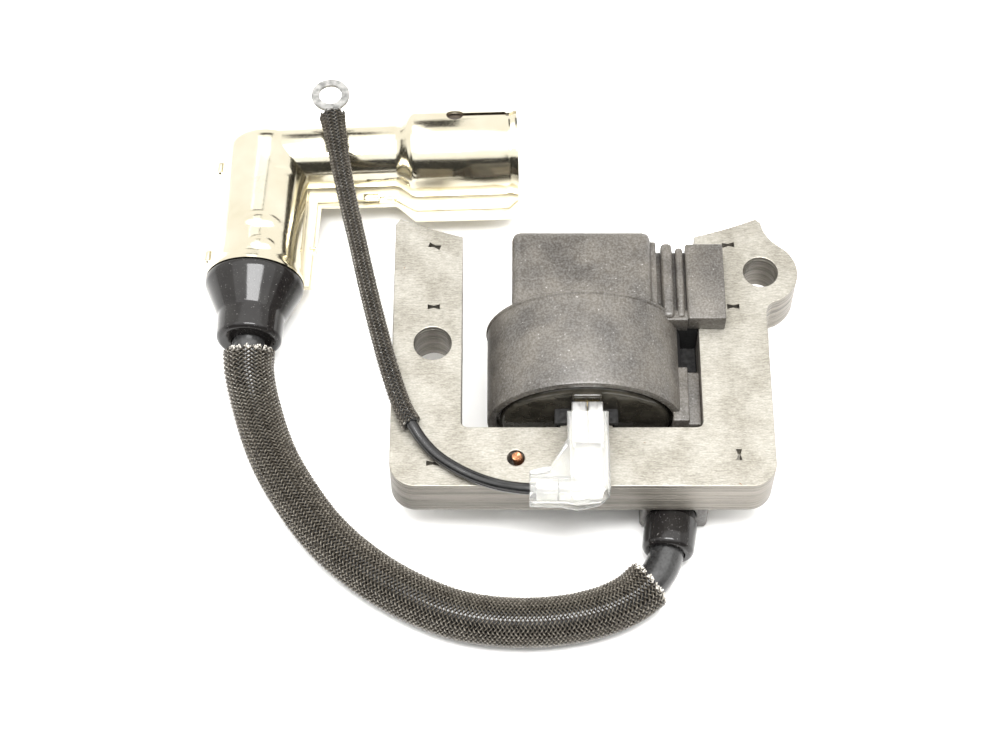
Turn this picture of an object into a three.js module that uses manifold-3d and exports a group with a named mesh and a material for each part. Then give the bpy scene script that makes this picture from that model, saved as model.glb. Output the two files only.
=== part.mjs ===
// Magneto ignition coil of a small engine, in millimetres, +Z up.
//
// It lies as it is laid on a bench: the E-shaped core flat, its three legs pointing along +Y toward
// the flywheel, the spark plug lead curling round its left front to the plug cap behind it, and the
// short stop-switch lead lying across the left leg and the cap.
//
// The design frame has x = 0 on the middle of the core, y = 0 on its front edge and z = 0 on the
// bench. The finished group is moved so that its origin is the centre of the coil case's foot.

import * as THREE from 'three';
import { mergeVertices } from 'three/addons/utils/BufferGeometryUtils.js';
import Module from 'manifold-3d';

const wasm = await Module();
wasm.setup();

// ---- Core ------------------------------------------------------------------------------------
const LIFT = 11.4;                 // underside of the core above the bench
const SHEETS = 10;                 // laminations
const SHEET = 1.04;                // one lamination
const CORE_TOP = LIFT + SHEETS * SHEET;
const MID_Z = (LIFT + CORE_TOP) / 2;
const CORE_HALF = 37.9;            // half of the width over the outer legs
const CORE_CORNER = 5.2;
const WINDOW_HALF = 23.9;          // half of the width between the outer legs
const WINDOW_FRONT = 13.1;         // depth of the bar that joins the legs
const WINDOW_CORNER = 1.5;
const FLYWHEEL_Y = 149.6;          // centre of the flywheel that the pole faces are cut to
const FLYWHEEL_R = 94.7;
const LEFT_HOLE = { x: -29.8, y: 32.3, r: 3.8 };
const RIGHT_HOLE = { x: 37.2, y: 49.3, r: 3.55 };
const PIN_HOLE = { x: -13.1, y: 6.2, r: 1.7 };
const EAR_RADIUS = 7.6;            // rounded ear around the right mounting hole

// ---- Coil ------------------------------------------------------------------------------------
const COIL_X = 0.8;                // the coil and its leg sit a little right of the window's middle
const LEG_HALF = 5.2;
const ROLL_A = 19.6;               // half width of the winding case
const ROLL_B = 16.4;               // half height
const ROLL_FRONT = 16.6;
const ROLL_BACK = 38.0;
const ROLL_MID = (ROLL_FRONT + ROLL_BACK) / 2;
const CASE_WALL = 1.8;
const TAIL_BACK = 54.0;            // end of the box behind the windings
const TAIL_TOP = 29.1;
const TAIL_BOTTOM = 8.4;
const TUNNEL_HALF = 5.55;          // hole that the centre leg passes through
const GAP = 0.3;                   // play between neighbouring pieces

// ---- Spark plug lead -------------------------------------------------------------------------
const CABLE_R = 3.5;
const SLEEVE_R = 5.0;
const SLEEVE_BORE = 4.0;
const BOOT_MOUTH = { x: 18.3, y: 1.5, z: 5.7 };
const BOOT_TURN = -0.15;           // the lead leaves the case turned slightly to the left

// ---- Plug cap --------------------------------------------------------------------------------
const CAP = { x: -66.7, y: 85.7, z: 10.5 };      // where the axes of the cap's two arms meet
const ARM_TURN = THREE.MathUtils.degToRad(2);    // each arm opens the elbow by this angle
const SHEET_METAL = 0.7;
const NECK_R = 9.4;                // cable arm of the shield
const NECK_END = -32.0;
const NECK_END_R = 10.3;
const NECK_BACK = 4.6;             // its closed end, behind the elbow, with rounded corners
const NECK_CORNER = 4.0;
const NECK_FLATTENING = 0.19;
const TUBE_R = 7.0;                // plug arm of the shield
const TUBE_BACK = -5.0;            // closed end of the plug arm, inside the cable arm
const SOCKET_R = 9.8;
const SOCKET_START = 31.3;
const SOCKET_END = 54.2;
const SEAM_Z = -1.5;               // plane where the two shield halves meet, from the cap's axis

// ---- Stop-switch lead ------------------------------------------------------------------------
const BLADE_Z = 27.0;
const BLADE_W = 4.8;
const BLADE_T = 0.8;
const BLADE_TIP = 7.5;
const WIRE_R = 1.15;
const KILL_SLEEVE_R = 2.0;
const KILL_SLEEVE_BORE = 1.45;
const WIRE_Y = -2.9;               // the wire enters the flag terminal along this line
const WIRE_Z = 26.2;
const RING = { x: -52.9, y: 96.0, z: 19.7 };

// ---- Materials -------------------------------------------------------------------------------
const material = (color, roughness, metalness = 0) =>
  new THREE.MeshStandardMaterial({ color, roughness, metalness });
const steel = () => material('#c9c3b6', 0.45, 0.9);
const blackPlastic = () => material('#4b4844', 0.6);
const cream = () => material('#d8d0ad', 0.2, 1.0);
const rubber = () => material('#1c1b1a', 0.35);
const braid = () => material('#4a4540', 0.85);
const copper = () => material('#a9704a', 0.4, 0.9);
const brass = () => material('#b79b5b', 0.35, 0.9);

// ---- Solid helpers ---------------------------------------------------------------------------

// A three.js geometry as a manifold solid, without the slivers that lie on a turning axis.
function solid(geometry) {
  const bare = geometry.clone();
  bare.deleteAttribute('normal');
  bare.deleteAttribute('uv');
  const merged = mergeVertices(bare, 1e-4);
  const index = merged.index.array;
  const triangles = [];
  for (let i = 0; i < index.length; i += 3) {
    const [a, b, c] = [index[i], index[i + 1], index[i + 2]];
    if (a !== b && b !== c && c !== a) triangles.push(a, b, c);
  }
  return new wasm.Manifold(new wasm.Mesh({
    numProp: 3,
    vertProperties: Float32Array.from(merged.attributes.position.array),
    triVerts: Uint32Array.from(triangles),
  }));
}

function geometryOf(manifold) {
  const mesh = manifold.getMesh();
  const geometry = new THREE.BufferGeometry();
  geometry.setAttribute('position', new THREE.BufferAttribute(Float32Array.from(mesh.vertProperties), 3));
  geometry.setIndex(new THREE.BufferAttribute(Uint32Array.from(mesh.triVerts), 1));
  geometry.computeVertexNormals();
  return geometry;
}

const addAll = (solids) => solids.reduce((sum, next) => sum.add(next));

function box(x0, x1, y0, y1, z0, z1) {
  const geometry = new THREE.BoxGeometry(x1 - x0, y1 - y0, z1 - z0);
  geometry.translate((x0 + x1) / 2, (y0 + y1) / 2, (z0 + z1) / 2);
  return geometry;
}

// A prism from a flat outline drawn in x and y, between two heights.
function slab(shape, z0, z1, curveSegments = 6) {
  const geometry = new THREE.ExtrudeGeometry(shape, { depth: z1 - z0, bevelEnabled: false, curveSegments });
  geometry.translate(0, 0, z0);
  return geometry;
}

// A prism from an outline drawn in x and z, between two values of y.
function prismY(shape, y0, y1, curveSegments = 6) {
  const geometry = new THREE.ExtrudeGeometry(shape, { depth: y1 - y0, bevelEnabled: false, curveSegments });
  geometry.rotateX(Math.PI / 2);
  geometry.translate(0, y1, 0);
  return geometry;
}

function polygon(points) {
  return new THREE.Shape(points.map(([x, y]) => new THREE.Vector2(x, y)));
}

function circle(radius, sides) {
  const points = [];
  for (let i = 0; i < sides; i += 1) {
    const angle = (2 * Math.PI * i) / sides;
    points.push([radius * Math.cos(angle), radius * Math.sin(angle)]);
  }
  return polygon(points);
}

// An ellipse around the coil's axis, drawn in x and z as four quarters.
function coilEllipse(a, b) {
  const shape = new THREE.Shape();
  for (let quarter = 0; quarter < 4; quarter += 1) {
    const start = (quarter * Math.PI) / 2;
    shape.absellipse(COIL_X, MID_Z, a, b, start, start + Math.PI / 2);
  }
  return shape;
}

// A square with rounded corners around the coil's axis, drawn in x and z.
function coilSquare(half, corner) {
  const shape = new THREE.Shape();
  const inner = half - corner;
  shape.absarc(COIL_X + inner, MID_Z + inner, corner, 0, Math.PI / 2);
  shape.absarc(COIL_X - inner, MID_Z + inner, corner, Math.PI / 2, Math.PI);
  shape.absarc(COIL_X - inner, MID_Z - inner, corner, Math.PI, 1.5 * Math.PI);
  shape.absarc(COIL_X + inner, MID_Z - inner, corner, 1.5 * Math.PI, 2 * Math.PI);
  return shape;
}

// A solid of revolution about Y from [radius, y] points that run from the bottom to the top.
function turned(points, sides = 32) {
  return new THREE.LatheGeometry(points.map(([r, y]) => new THREE.Vector2(r, y)), sides);
}

// The same about X: the second number of each point is x.
function turnedX(points, sides = 32) {
  return turned(points, sides).rotateZ(-Math.PI / 2);
}

const rodY = (radius, y0, y1, sides) => turned([[0, y0], [radius, y0], [radius, y1], [0, y1]], sides);
const rodX = (radius, x0, x1, sides) => turnedX([[0, x0], [radius, x0], [radius, x1], [0, x1]], sides);

function curveOf(points) {
  return new THREE.CatmullRomCurve3(points.map(([x, y, z]) => new THREE.Vector3(x, y, z)), false, 'centripetal');
}

// A tube along a route, solid or with a bore.
function tube(points, radius, bore, sides, steps) {
  const section = circle(radius, sides);
  if (bore > 0) section.holes.push(new THREE.Path(circle(bore, sides).getPoints().reverse()));
  return new THREE.ExtrudeGeometry(section, { extrudePath: curveOf(points), steps, bevelEnabled: false });
}

// ---- Scene -----------------------------------------------------------------------------------
const part = new THREE.Group();
part.name = 'ignition_coil';
const bench = new THREE.Group();
bench.position.set(0, -ROLL_MID, 0);
part.add(bench);
const capGroup = new THREE.Group();
capGroup.position.set(CAP.x, CAP.y, CAP.z);
bench.add(capGroup);

function place(name, geometry, look, parent = bench) {
  const mesh = new THREE.Mesh(geometry, look);
  mesh.name = name;
  parent.add(mesh);
  return mesh;
}

// ---- Laminated core --------------------------------------------------------------------------

// Height of the flywheel's arc above the front edge, at a distance from the middle.
const poleY = (x) => FLYWHEEL_Y - Math.sqrt(FLYWHEEL_R ** 2 - x ** 2);
const poleAngle = (x) => Math.atan2(poleY(x) - FLYWHEEL_Y, x);

// One E-shaped sheet, drawn anticlockwise from the left end of its front edge.
function coreOutline() {
  const tipHalf = CORE_HALF - 1.0;
  const legLeft = COIL_X - LEG_HALF;
  const legRight = COIL_X + LEG_HALF;
  const shape = new THREE.Shape();
  shape.moveTo(-CORE_HALF + CORE_CORNER, 0);
  shape.lineTo(CORE_HALF - CORE_CORNER, 0);
  shape.absarc(CORE_HALF - CORE_CORNER, CORE_CORNER, CORE_CORNER, -Math.PI / 2, 0);
  shape.lineTo(CORE_HALF, 39.4);
  shape.quadraticCurveTo(CORE_HALF + 0.2, 41.9, 40.4, 42.4);
  shape.absarc(RIGHT_HOLE.x, RIGHT_HOLE.y, EAR_RADIUS, -1.13, 0.84);
  shape.quadraticCurveTo(CORE_HALF + 0.5, 57.6, CORE_HALF, 61.4);
  shape.lineTo(tipHalf, poleY(tipHalf));
  shape.absarc(0, FLYWHEEL_Y, FLYWHEEL_R, poleAngle(tipHalf), poleAngle(WINDOW_HALF), true);
  shape.lineTo(WINDOW_HALF, WINDOW_FRONT + WINDOW_CORNER);
  shape.quadraticCurveTo(WINDOW_HALF, WINDOW_FRONT, WINDOW_HALF - WINDOW_CORNER, WINDOW_FRONT);
  shape.lineTo(legRight, WINDOW_FRONT);
  shape.lineTo(legRight, poleY(legRight));
  shape.lineTo(legLeft, poleY(legLeft));
  shape.lineTo(legLeft, WINDOW_FRONT);
  shape.lineTo(-WINDOW_HALF + WINDOW_CORNER, WINDOW_FRONT);
  shape.quadraticCurveTo(-WINDOW_HALF, WINDOW_FRONT, -WINDOW_HALF, WINDOW_FRONT + WINDOW_CORNER);
  shape.lineTo(-WINDOW_HALF, poleY(WINDOW_HALF));
  shape.absarc(0, FLYWHEEL_Y, FLYWHEEL_R, poleAngle(-WINDOW_HALF), poleAngle(-tipHalf), true);
  shape.lineTo(-CORE_HALF, 61.0);
  shape.lineTo(-CORE_HALF, CORE_CORNER);
  shape.absarc(-CORE_HALF + CORE_CORNER, CORE_CORNER, CORE_CORNER, Math.PI, 1.5 * Math.PI);
  for (const hole of [LEFT_HOLE, RIGHT_HOLE, PIN_HOLE]) {
    const path = new THREE.Path();
    path.absarc(hole.x, hole.y, hole.r, 0, -Math.PI, true);
    path.absarc(hole.x, hole.y, hole.r, Math.PI, 0, true);
    shape.holes.push(path);
  }
  return shape;
}

function buildCore() {
  for (let i = 0; i < SHEETS; i += 1) {
    const z = LIFT + i * SHEET;
    const name = `lamination_${String(i + 1).padStart(2, '0')}`;
    place(name, slab(coreOutline(), z, z + SHEET, 4), steel());
  }
  const pin = rodY(1.05, -4.6, 0.9, 16);
  pin.rotateX(Math.PI / 2);
  pin.translate(PIN_HOLE.x, PIN_HOLE.y, CORE_TOP);
  place('ground_pin', pin, copper());
}

// ---- Coil case -------------------------------------------------------------------------------

function buildCase() {
  const front = ROLL_FRONT;
  const floor = ROLL_BACK - CASE_WALL;
  const outside = addAll([
    solid(prismY(coilEllipse(ROLL_A, ROLL_B), front, ROLL_BACK, 5)),
    solid(box(-13.8, 14.4, ROLL_BACK - 1, TAIL_BACK, TAIL_BOTTOM, TAIL_TOP)),
    // flat foot that the coil stands on
    solid(box(COIL_X - 5, COIL_X + 5, front + 1, ROLL_BACK - 1, 0, 2)),
    // outlet of the spark plug lead, below the core's front bar
    solid(box(12, 25.6, BOOT_MOUTH.y, 20, 0.3, 11.0)),
    // two ribs and the block they stand on, between the tail and the right leg
    solid(box(13, 23.4, ROLL_BACK - 1, TAIL_BACK - 0.8, 12.0, 23.4)),
    solid(box(16.5, 18.8, ROLL_BACK - 2, TAIL_BACK, 12.0, 26.0)),
    solid(box(19.6, 21.0, ROLL_BACK - 2, TAIL_BACK - 0.6, 12.0, 26.0)),
    // lug that hooks over the right leg
    solid(box(21.6, 29.2, 35.6, 53.4, CORE_TOP + GAP, CORE_TOP + 4.3)),
    solid(box(21.6, 23.5, 35.6, 53.4, 12.0, CORE_TOP + 4.3)),
    solid(box(17.0, 23.5, 35.6, 38.0, 12.0, 25.4)),
    // rail that fills the front of the right window, with a low floor behind it
    solid(box(18.0, 23.5, 14.6, 27.0, 12.6, 21.6)),
    solid(box(17.0, 23.5, 26.0, 38.0, 12.0, 14.0)),
  ]);
  const tunnelTube = solid(prismY(coilSquare(6.6, 1.4), front - 1, ROLL_BACK, 2));
  const cavity = solid(prismY(coilEllipse(ROLL_A - CASE_WALL, ROLL_B - CASE_WALL), front - 1, floor, 5))
    .subtract(tunnelTube);
  const half = TUNNEL_HALF;
  const tunnel = solid(box(COIL_X - half, COIL_X + half, 10, 60, MID_Z - half, MID_Z + half));
  const moduleRoom = addAll([
    solid(box(-11.5, 12.1, ROLL_BACK, TAIL_BACK - 1.4, 23.6, 27.8)),
    solid(box(-8.4, 10.0, floor - 1, ROLL_BACK + 1, 24.2, 27.2)),
  ]);
  const bore = addAll([
    solid(rodY(4.9, -3, 13, 24)),
    solid(rodY(1.5, 12, 17.6, 12)),
  ]);
  const turnedBore = bore.rotate([0, 0, THREE.MathUtils.radToDeg(BOOT_TURN)])
    .translate([BOOT_MOUTH.x, BOOT_MOUTH.y, BOOT_MOUTH.z]);
  const shell = outside.subtract(cavity).subtract(tunnel).subtract(moduleRoom).subtract(turnedBore);
  place('coil_case', geometryOf(shell), blackPlastic());
}

// A ring around the coil's axis: outer outline, inner outline, and its two ends.
function coilRing(outer, inner, y0, y1) {
  return solid(prismY(outer, y0, y1, 3)).subtract(solid(prismY(inner, y0 - 1, y1 + 1, 3)));
}

function buildWindings() {
  const y0 = ROLL_FRONT + 2.0;
  const y1 = ROLL_BACK - CASE_WALL - 0.4;
  const flange = 0.9;
  const primaryBobbin = addAll([
    coilRing(coilSquare(7.6, 2.0), coilSquare(6.9, 1.5), y0, y1),
    coilRing(coilSquare(9.6, 4.0), coilSquare(6.9, 1.5), y0, y0 + flange),
    coilRing(coilSquare(9.6, 4.0), coilSquare(6.9, 1.5), y1 - flange, y1),
  ]);
  place('primary_bobbin', geometryOf(primaryBobbin), material('#e4dcc4', 0.6));
  place('primary_winding', geometryOf(
    coilRing(coilSquare(9.6, 4.0), coilSquare(7.9, 2.2), y0 + flange + GAP, y1 - flange - GAP)), copper());
  const secondaryBobbin = addAll([
    coilRing(coilSquare(10.7, 5.0), coilSquare(9.9, 4.2), y0, y1),
    coilRing(coilEllipse(15.6, 12.9), coilSquare(9.9, 4.2), y0, y0 + flange),
    coilRing(coilEllipse(15.6, 12.9), coilSquare(9.9, 4.2), y1 - flange, y1),
  ]);
  place('secondary_bobbin', geometryOf(secondaryBobbin), material('#d8cdb0', 0.6));
  place('secondary_winding', geometryOf(
    coilRing(coilEllipse(15.6, 12.9), coilSquare(11.0, 5.2), y0 + flange + GAP, y1 - flange - GAP)),
    material('#8d4a26', 0.5, 0.6));
}

// Resin poured into the case from its front. It covers the windings and stands up around the blade.
function buildResin() {
  const a = ROLL_A - CASE_WALL - GAP;
  const b = ROLL_B - CASE_WALL - GAP;
  const face = ROLL_FRONT + 0.8;
  const end = ROLL_BACK - CASE_WALL - GAP;
  const cup = addAll([
    solid(prismY(coilEllipse(a, b), face, end, 5)),
    solid(box(COIL_X - 2.9, COIL_X + 2.9, face - 1.8, face + 0.5, 25.4, 29.6)),
  ]);
  const room = solid(prismY(coilEllipse(16.0, 13.3), ROLL_FRONT + 1.7, end + 1, 5));
  const collar = solid(prismY(coilSquare(6.9, 1.5), face - 1, end + 1, 2));
  const slot = solid(box(COIL_X - BLADE_W / 2 - GAP, COIL_X + BLADE_W / 2 + GAP, face - 3, face + 3,
    BLADE_Z - BLADE_T / 2 - GAP, BLADE_Z + BLADE_T / 2 + GAP));
  place('potting_resin', geometryOf(cup.subtract(room).subtract(collar).subtract(slot)),
    material('#5a544c', 0.25));
}

function buildElectrics() {
  place('trigger_module', box(-10.8, 11.4, 39.4, 51.8, 24.2, 27.2), material('#2f5a3a', 0.5));
  const left = COIL_X - BLADE_W / 2;
  const right = COIL_X + BLADE_W / 2;
  const blade = new THREE.Shape();
  blade.moveTo(left, ROLL_FRONT + 1.9);
  blade.lineTo(left, BLADE_TIP + 1.2);
  blade.lineTo(left + 1.0, BLADE_TIP);
  blade.lineTo(right - 1.0, BLADE_TIP);
  blade.lineTo(right, BLADE_TIP + 1.2);
  blade.lineTo(right, ROLL_FRONT + 1.9);
  place('blade_terminal', slab(blade, BLADE_Z - BLADE_T / 2, BLADE_Z + BLADE_T / 2), brass());
}

// ---- Spark plug lead -------------------------------------------------------------------------

// Centreline of the lead, from the bottom of the case's outlet to the screw in the cap.
const LEAD_ROUTE = [
  [19.95, 12.6, 5.7], [19.2, 7.6, 5.7], [18.3, 1.5, 5.7], [17.2, -5.6, 5.6], [15.6, -10.2, 5.4],
  [13.1, -13.4, 5.3], [9.6, -16.3, 5.2], [4.6, -18.8, 5.1], [-3.2, -20.8, 5.1], [-13.6, -21.4, 5.1],
  [-24.2, -19.9, 5.1], [-34.0, -15.8, 5.1], [-43.0, -10.0, 5.1], [-51.0, -2.6, 5.1], [-57.6, 6.4, 5.2],
  [-62.6, 15.4, 5.6], [-66.2, 25.4, 6.9], [-68.0, 33.0, 8.9], [-68.3, 39.4, 10.3], [-68.0, 47.0, 10.5],
  [-67.75, 55.7, 10.5], [-67.2, 71.8, 10.5],
];

// The braided sleeve covers the lead between the outlet boot and the cap's collar.
const SLEEVE_ROUTE = LEAD_ROUTE.slice(5, 18).concat([[-68.2, 37.2, 10.0]]);

function buildSparkLead() {
  const boot = turned([
    [3.8, -8.2], [4.7, -8.2], [5.2, -7.4], [5.25, -1.15], [4.6, -1.15], [4.6, 10.4], [3.8, 10.4], [3.8, -8.2],
  ], 28);
  const mesh = place('lead_boot', boot, rubber());
  mesh.position.set(BOOT_MOUTH.x, BOOT_MOUTH.y, BOOT_MOUTH.z);
  mesh.rotation.z = BOOT_TURN;
  const spike = turned([[0, 11.6], [1.1, 13.2], [1.1, 17.3], [0, 17.3]], 12);
  const terminal = place('lead_spike', spike, brass());
  terminal.position.copy(mesh.position);
  terminal.rotation.z = BOOT_TURN;
  place('spark_cable', tube(LEAD_ROUTE, CABLE_R, 0, 10, 32), material('#23211f', 0.5));
  place('spark_sleeve', tube(SLEEVE_ROUTE, SLEEVE_R, SLEEVE_BORE, 10, 24), braid());
}

// ---- Plug cap --------------------------------------------------------------------------------

// The cable arm is round where it meets the boot and flattened toward the elbow.
function flattened(geometry) {
  const points = geometry.attributes.position;
  for (let i = 0; i < points.count; i += 1) {
    const share = THREE.MathUtils.clamp((points.getY(i) + 19) / 11, 0, 1);
    points.setZ(i, points.getZ(i) * (1 - NECK_FLATTENING * share));
  }
  return geometry;
}

// Both arms of the elbow as one solid, drawn in from the shield's outside by an offset.
function capBody(offset, neckEnd, socketEnd) {
  const r = NECK_R - offset;
  const reach = NECK_CORNER - offset;
  const profile = [
    [0, neckEnd], [NECK_END_R - offset, neckEnd], [NECK_END_R - offset, NECK_END + 0.4], [r, -25.5], [r, -19],
    [r, -8],
  ];
  for (let i = 0; i <= 4; i += 1) {
    const angle = (i * Math.PI) / 8;
    profile.push([
      NECK_R - NECK_CORNER + reach * Math.cos(angle), NECK_BACK - NECK_CORNER + reach * Math.sin(angle),
    ]);
  }
  profile.push([0, NECK_BACK - offset]);
  const neck = solid(flattened(turned(profile))).rotate([0, 0, -THREE.MathUtils.radToDeg(ARM_TURN)]);
  const plugArm = solid(turnedX([
    [0, TUBE_BACK + offset], [TUBE_R - 2.5, TUBE_BACK + offset], [TUBE_R - offset, TUBE_BACK + 2.5],
    [TUBE_R - offset, SOCKET_START - 2.6], [SOCKET_R - offset, SOCKET_START],
    [SOCKET_R - offset, socketEnd], [0, socketEnd],
  ])).rotate([0, 0, THREE.MathUtils.radToDeg(ARM_TURN)]);
  return neck.add(plugArm);
}

// Plan of a shield half's seam flange: the plug arm with its wide inner edge, and the cable arm.
function seamFlange(z0, z1, tubeWidth, socketWidth, sideWidth) {
  const tubeEdge = TUBE_R + tubeWidth;
  const socketEdge = SOCKET_R + socketWidth;
  const plugArm = polygon([
    [6, TUBE_R + 0.7], [6, -tubeEdge], [SOCKET_START - 4, -tubeEdge], [SOCKET_START, -socketEdge],
    [SOCKET_END - 2.4, -socketEdge], [SOCKET_END, -socketEdge + 2.4], [SOCKET_END, SOCKET_R + 0.7],
    [SOCKET_START, SOCKET_R + 0.7], [SOCKET_START - 3, TUBE_R + 0.7],
  ]);
  const neck = polygon([
    [-NECK_R - 0.7, 1.5], [-NECK_END_R - 0.7, NECK_END + 1], [NECK_END_R + sideWidth * 0.5, NECK_END + 1],
    [NECK_R + sideWidth, -12], [NECK_R + sideWidth, -5], [NECK_R - 2, 1.5],
  ]);
  const turn = THREE.MathUtils.radToDeg(ARM_TURN);
  return solid(slab(plugArm, z0, z1)).rotate([0, 0, turn])
    .add(solid(slab(neck, z0, z1)).rotate([0, 0, -turn]));
}

// Keyhole slot that lets the top of the socket spring open over the plug.
function keyhole() {
  const hole = solid(rodY(1.6, 0, 14, 20)).translate([40.9, 0, 0]);
  const slot = solid(box(41.2, SOCKET_END + 2, 0, 14, -0.4, 0.4));
  return hole.add(slot).rotate([71, 0, 0]).rotate([0, 0, THREE.MathUtils.radToDeg(ARM_TURN)]);
}

function buildShield() {
  const outer = capBody(0, NECK_END, SOCKET_END);
  const inner = capBody(SHEET_METAL, NECK_END - 2, SOCKET_END + 2);
  const wall = outer.subtract(inner);
  const split = SEAM_Z;
  const above = solid(box(-40, 80, -60, 40, split + GAP / 2, 30));
  const below = solid(box(-40, 80, -60, 40, -30, split - GAP / 2));
  const upperFlange = seamFlange(split + GAP / 2, split + GAP / 2 + SHEET_METAL, 3.0, 3.5, 1.8);
  const lowerFlange = seamFlange(split - GAP / 2 - SHEET_METAL, split - GAP / 2, 5.0, 6.3, 2.6);
  const upper = wall.intersect(above).add(upperFlange.subtract(inner)).subtract(keyhole());
  const lower = wall.intersect(below).add(lowerFlange.subtract(inner));
  place('shield_upper', geometryOf(upper), cream(), capGroup);
  place('shield_lower', geometryOf(lower), cream(), capGroup);
}

function buildCapInside() {
  const turn = THREE.MathUtils.radToDeg(ARM_TURN);
  const offset = SHEET_METAL + GAP;
  const keep = solid(box(-40, 80, -19.5, 40, -30, 30));
  const plugRooms = addAll([
    solid(rodX(7.6, 35.4, 60, 32)),
    solid(rodX(4.8, 23.5, 36, 28)),
    solid(rodX(2.4, -3, 24, 20)),
  ]).rotate([0, 0, turn]);
  const cableRooms = addAll([
    solid(rodY(3.8, -30, -13.4, 24)),
    solid(rodY(3.1, -14, 2.6, 24)),
  ]).rotate([0, 0, -turn]);
  const body = capBody(offset, NECK_END, SOCKET_END - 1.6).intersect(keep)
    .subtract(plugRooms).subtract(cableRooms);
  place('cap_insulator', geometryOf(body), material('#2b2320', 0.45), capGroup);

  const coneArm = new THREE.Group();
  coneArm.rotation.z = -ARM_TURN;
  capGroup.add(coneArm);
  place('cap_boot', turned([
    [3.8, -46.4], [6.3, -46.4], [6.8, -45.6], [6.9, -40.4], [10.3, -33.4], [10.3, -32.3], [9.0, -32.3],
    [8.2, -29.0], [8.2, -20.0], [3.8, -20.0], [3.8, -46.4],
  ], 28), rubber(), coneArm);
  place('cable_screw', turned([
    [0, -13.2], [0.5, -12.6], [1.3, -10.6], [1.3, -3.2], [2.7, -3.2], [2.7, -1.2], [0, -1.2],
  ], 20), brass(), coneArm);

  const plugArm = new THREE.Group();
  plugArm.rotation.z = ARM_TURN;
  capGroup.add(plugArm);
  place('cap_resistor', rodX(2.0, 3.4, 17.6, 20), material('#8c2f1f', 0.5), plugArm);
  place('contact_spring', springX(1.55, 0.35, 18.4, 22.9, 3), steel(), plugArm);
  place('plug_contact', turnedX([
    [0, 23.8], [4.4, 23.8], [4.4, 36.0], [3.7, 36.0], [3.7, 24.6], [0, 24.6],
  ], 24), brass(), plugArm);
  place('socket_seal', turnedX([
    [5.2, 44.0], [7.3, 44.0], [7.3, 52.4], [6.4, 52.4], [5.2, 49.0], [5.2, 44.0],
  ], 32), rubber(), plugArm);
}

// A short coil spring along X.
function springX(radius, wire, x0, x1, turns) {
  const points = [];
  const steps = turns * 10;
  for (let i = 0; i <= steps; i += 1) {
    const angle = (2 * Math.PI * turns * i) / steps;
    points.push([x0 + ((x1 - x0) * i) / steps, radius * Math.cos(angle), radius * Math.sin(angle)]);
  }
  return tube(points, wire, 0, 6, steps);
}

// ---- Stop-switch lead ------------------------------------------------------------------------

// Centreline of the wire, from the flag terminal over the left leg to the ring terminal.
const WIRE_ROUTE = [
  [-3.4, WIRE_Y, WIRE_Z], [-9.6, WIRE_Y, WIRE_Z], [-12.6, -2.4, 25.6], [-16.4, -1.0, 24.2],
  [-20.8, 1.0, 23.3], [-24.8, 3.2, 23.15], [-28.6, 6.0, 23.15], [-31.6, 9.4, 23.5], [-33.6, 12.6, 24.05],
  [-35.3, 16.0, 24.1], [-38.0, 24.2, 24.1], [-40.9, 35.4, 23.4], [-43.4, 46.2, 22.4], [-45.6, 56.6, 21.2],
  [-47.8, 66.6, 20.2], [-49.6, 75.4, 19.8], [-51.3, 85.0, 19.7], [-52.3, 90.6, 19.7],
];

// The braided sleeve covers the wire from the left leg to the ring.
const KILL_SLEEVE_ROUTE = WIRE_ROUTE.slice(8);

function buildFlagTerminal() {
  const x0 = COIL_X - 3.1;
  const x1 = COIL_X + 3.1;
  const receptacle = solid(box(x0, x1, 6.2, 15.2, BLADE_Z - 1.5, BLADE_Z + 1.5))
    .subtract(solid(box(COIL_X - BLADE_W / 2 - GAP, COIL_X + BLADE_W / 2 + GAP, 6.8, 16,
      BLADE_Z - BLADE_T / 2 - GAP, BLADE_Z + BLADE_T / 2 + GAP)));
  const web = solid(box(x0 + 0.4, x1 - 0.4, WIRE_Y - 1.9, 6.6, BLADE_Z - 1.4, BLADE_Z - 0.4));
  const barrel = solid(rodX(1.95, -9.2, 0.2, 16)).translate([0, WIRE_Y, WIRE_Z]);
  const wireHole = solid(rodX(WIRE_R + GAP, -10, -3.1, 12)).translate([0, WIRE_Y, WIRE_Z]);
  place('flag_terminal', geometryOf(addAll([receptacle, web, barrel]).subtract(wireHole)), steel());
}

// Soft clear cover, open toward the blade and where the wire leaves it.
function buildTerminalCover() {
  const outline = polygon([
    [-3.2, 12.9], [-3.2, 7.0], [-6.6, 0.9], [-10.6, -0.2], [-10.6, -5.9], [-4.4, -6.0], [-1.4, -6.7],
    [3.0, -5.6], [4.9, -3.8], [4.9, 12.9],
  ]);
  const shell = solid(slab(outline, 23.6, 29.4));
  const rooms = addAll([
    solid(box(-2.7, 4.3, -5.2, 14, BLADE_Z - 1.85, BLADE_Z + 1.85)),
    solid(rodX(2.3, -12, 0.6, 16)).translate([0, WIRE_Y, WIRE_Z]),
  ]);
  place('terminal_cover', geometryOf(shell.subtract(rooms)), material('#e9e7df', 0.15));
}

function buildRingTerminal() {
  const ringOutline = new THREE.Shape();
  const outer = 4.1;
  const neckHalf = 1.7;
  const meet = Math.asin(neckHalf / outer);
  ringOutline.absarc(0, 0, outer, -Math.PI / 2 + meet, 1.5 * Math.PI - meet);
  ringOutline.lineTo(-neckHalf, -5.4);
  ringOutline.lineTo(neckHalf, -5.4);
  const eye = new THREE.Path();
  eye.absarc(0, 0, 2.65, 0, 2 * Math.PI, true);
  ringOutline.holes.push(eye);
  const mesh = place('ring_terminal', slab(ringOutline, -0.4, 0.4, 10), steel());
  mesh.position.set(RING.x, RING.y, RING.z);
  mesh.rotation.z = 0.15;
}

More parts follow.
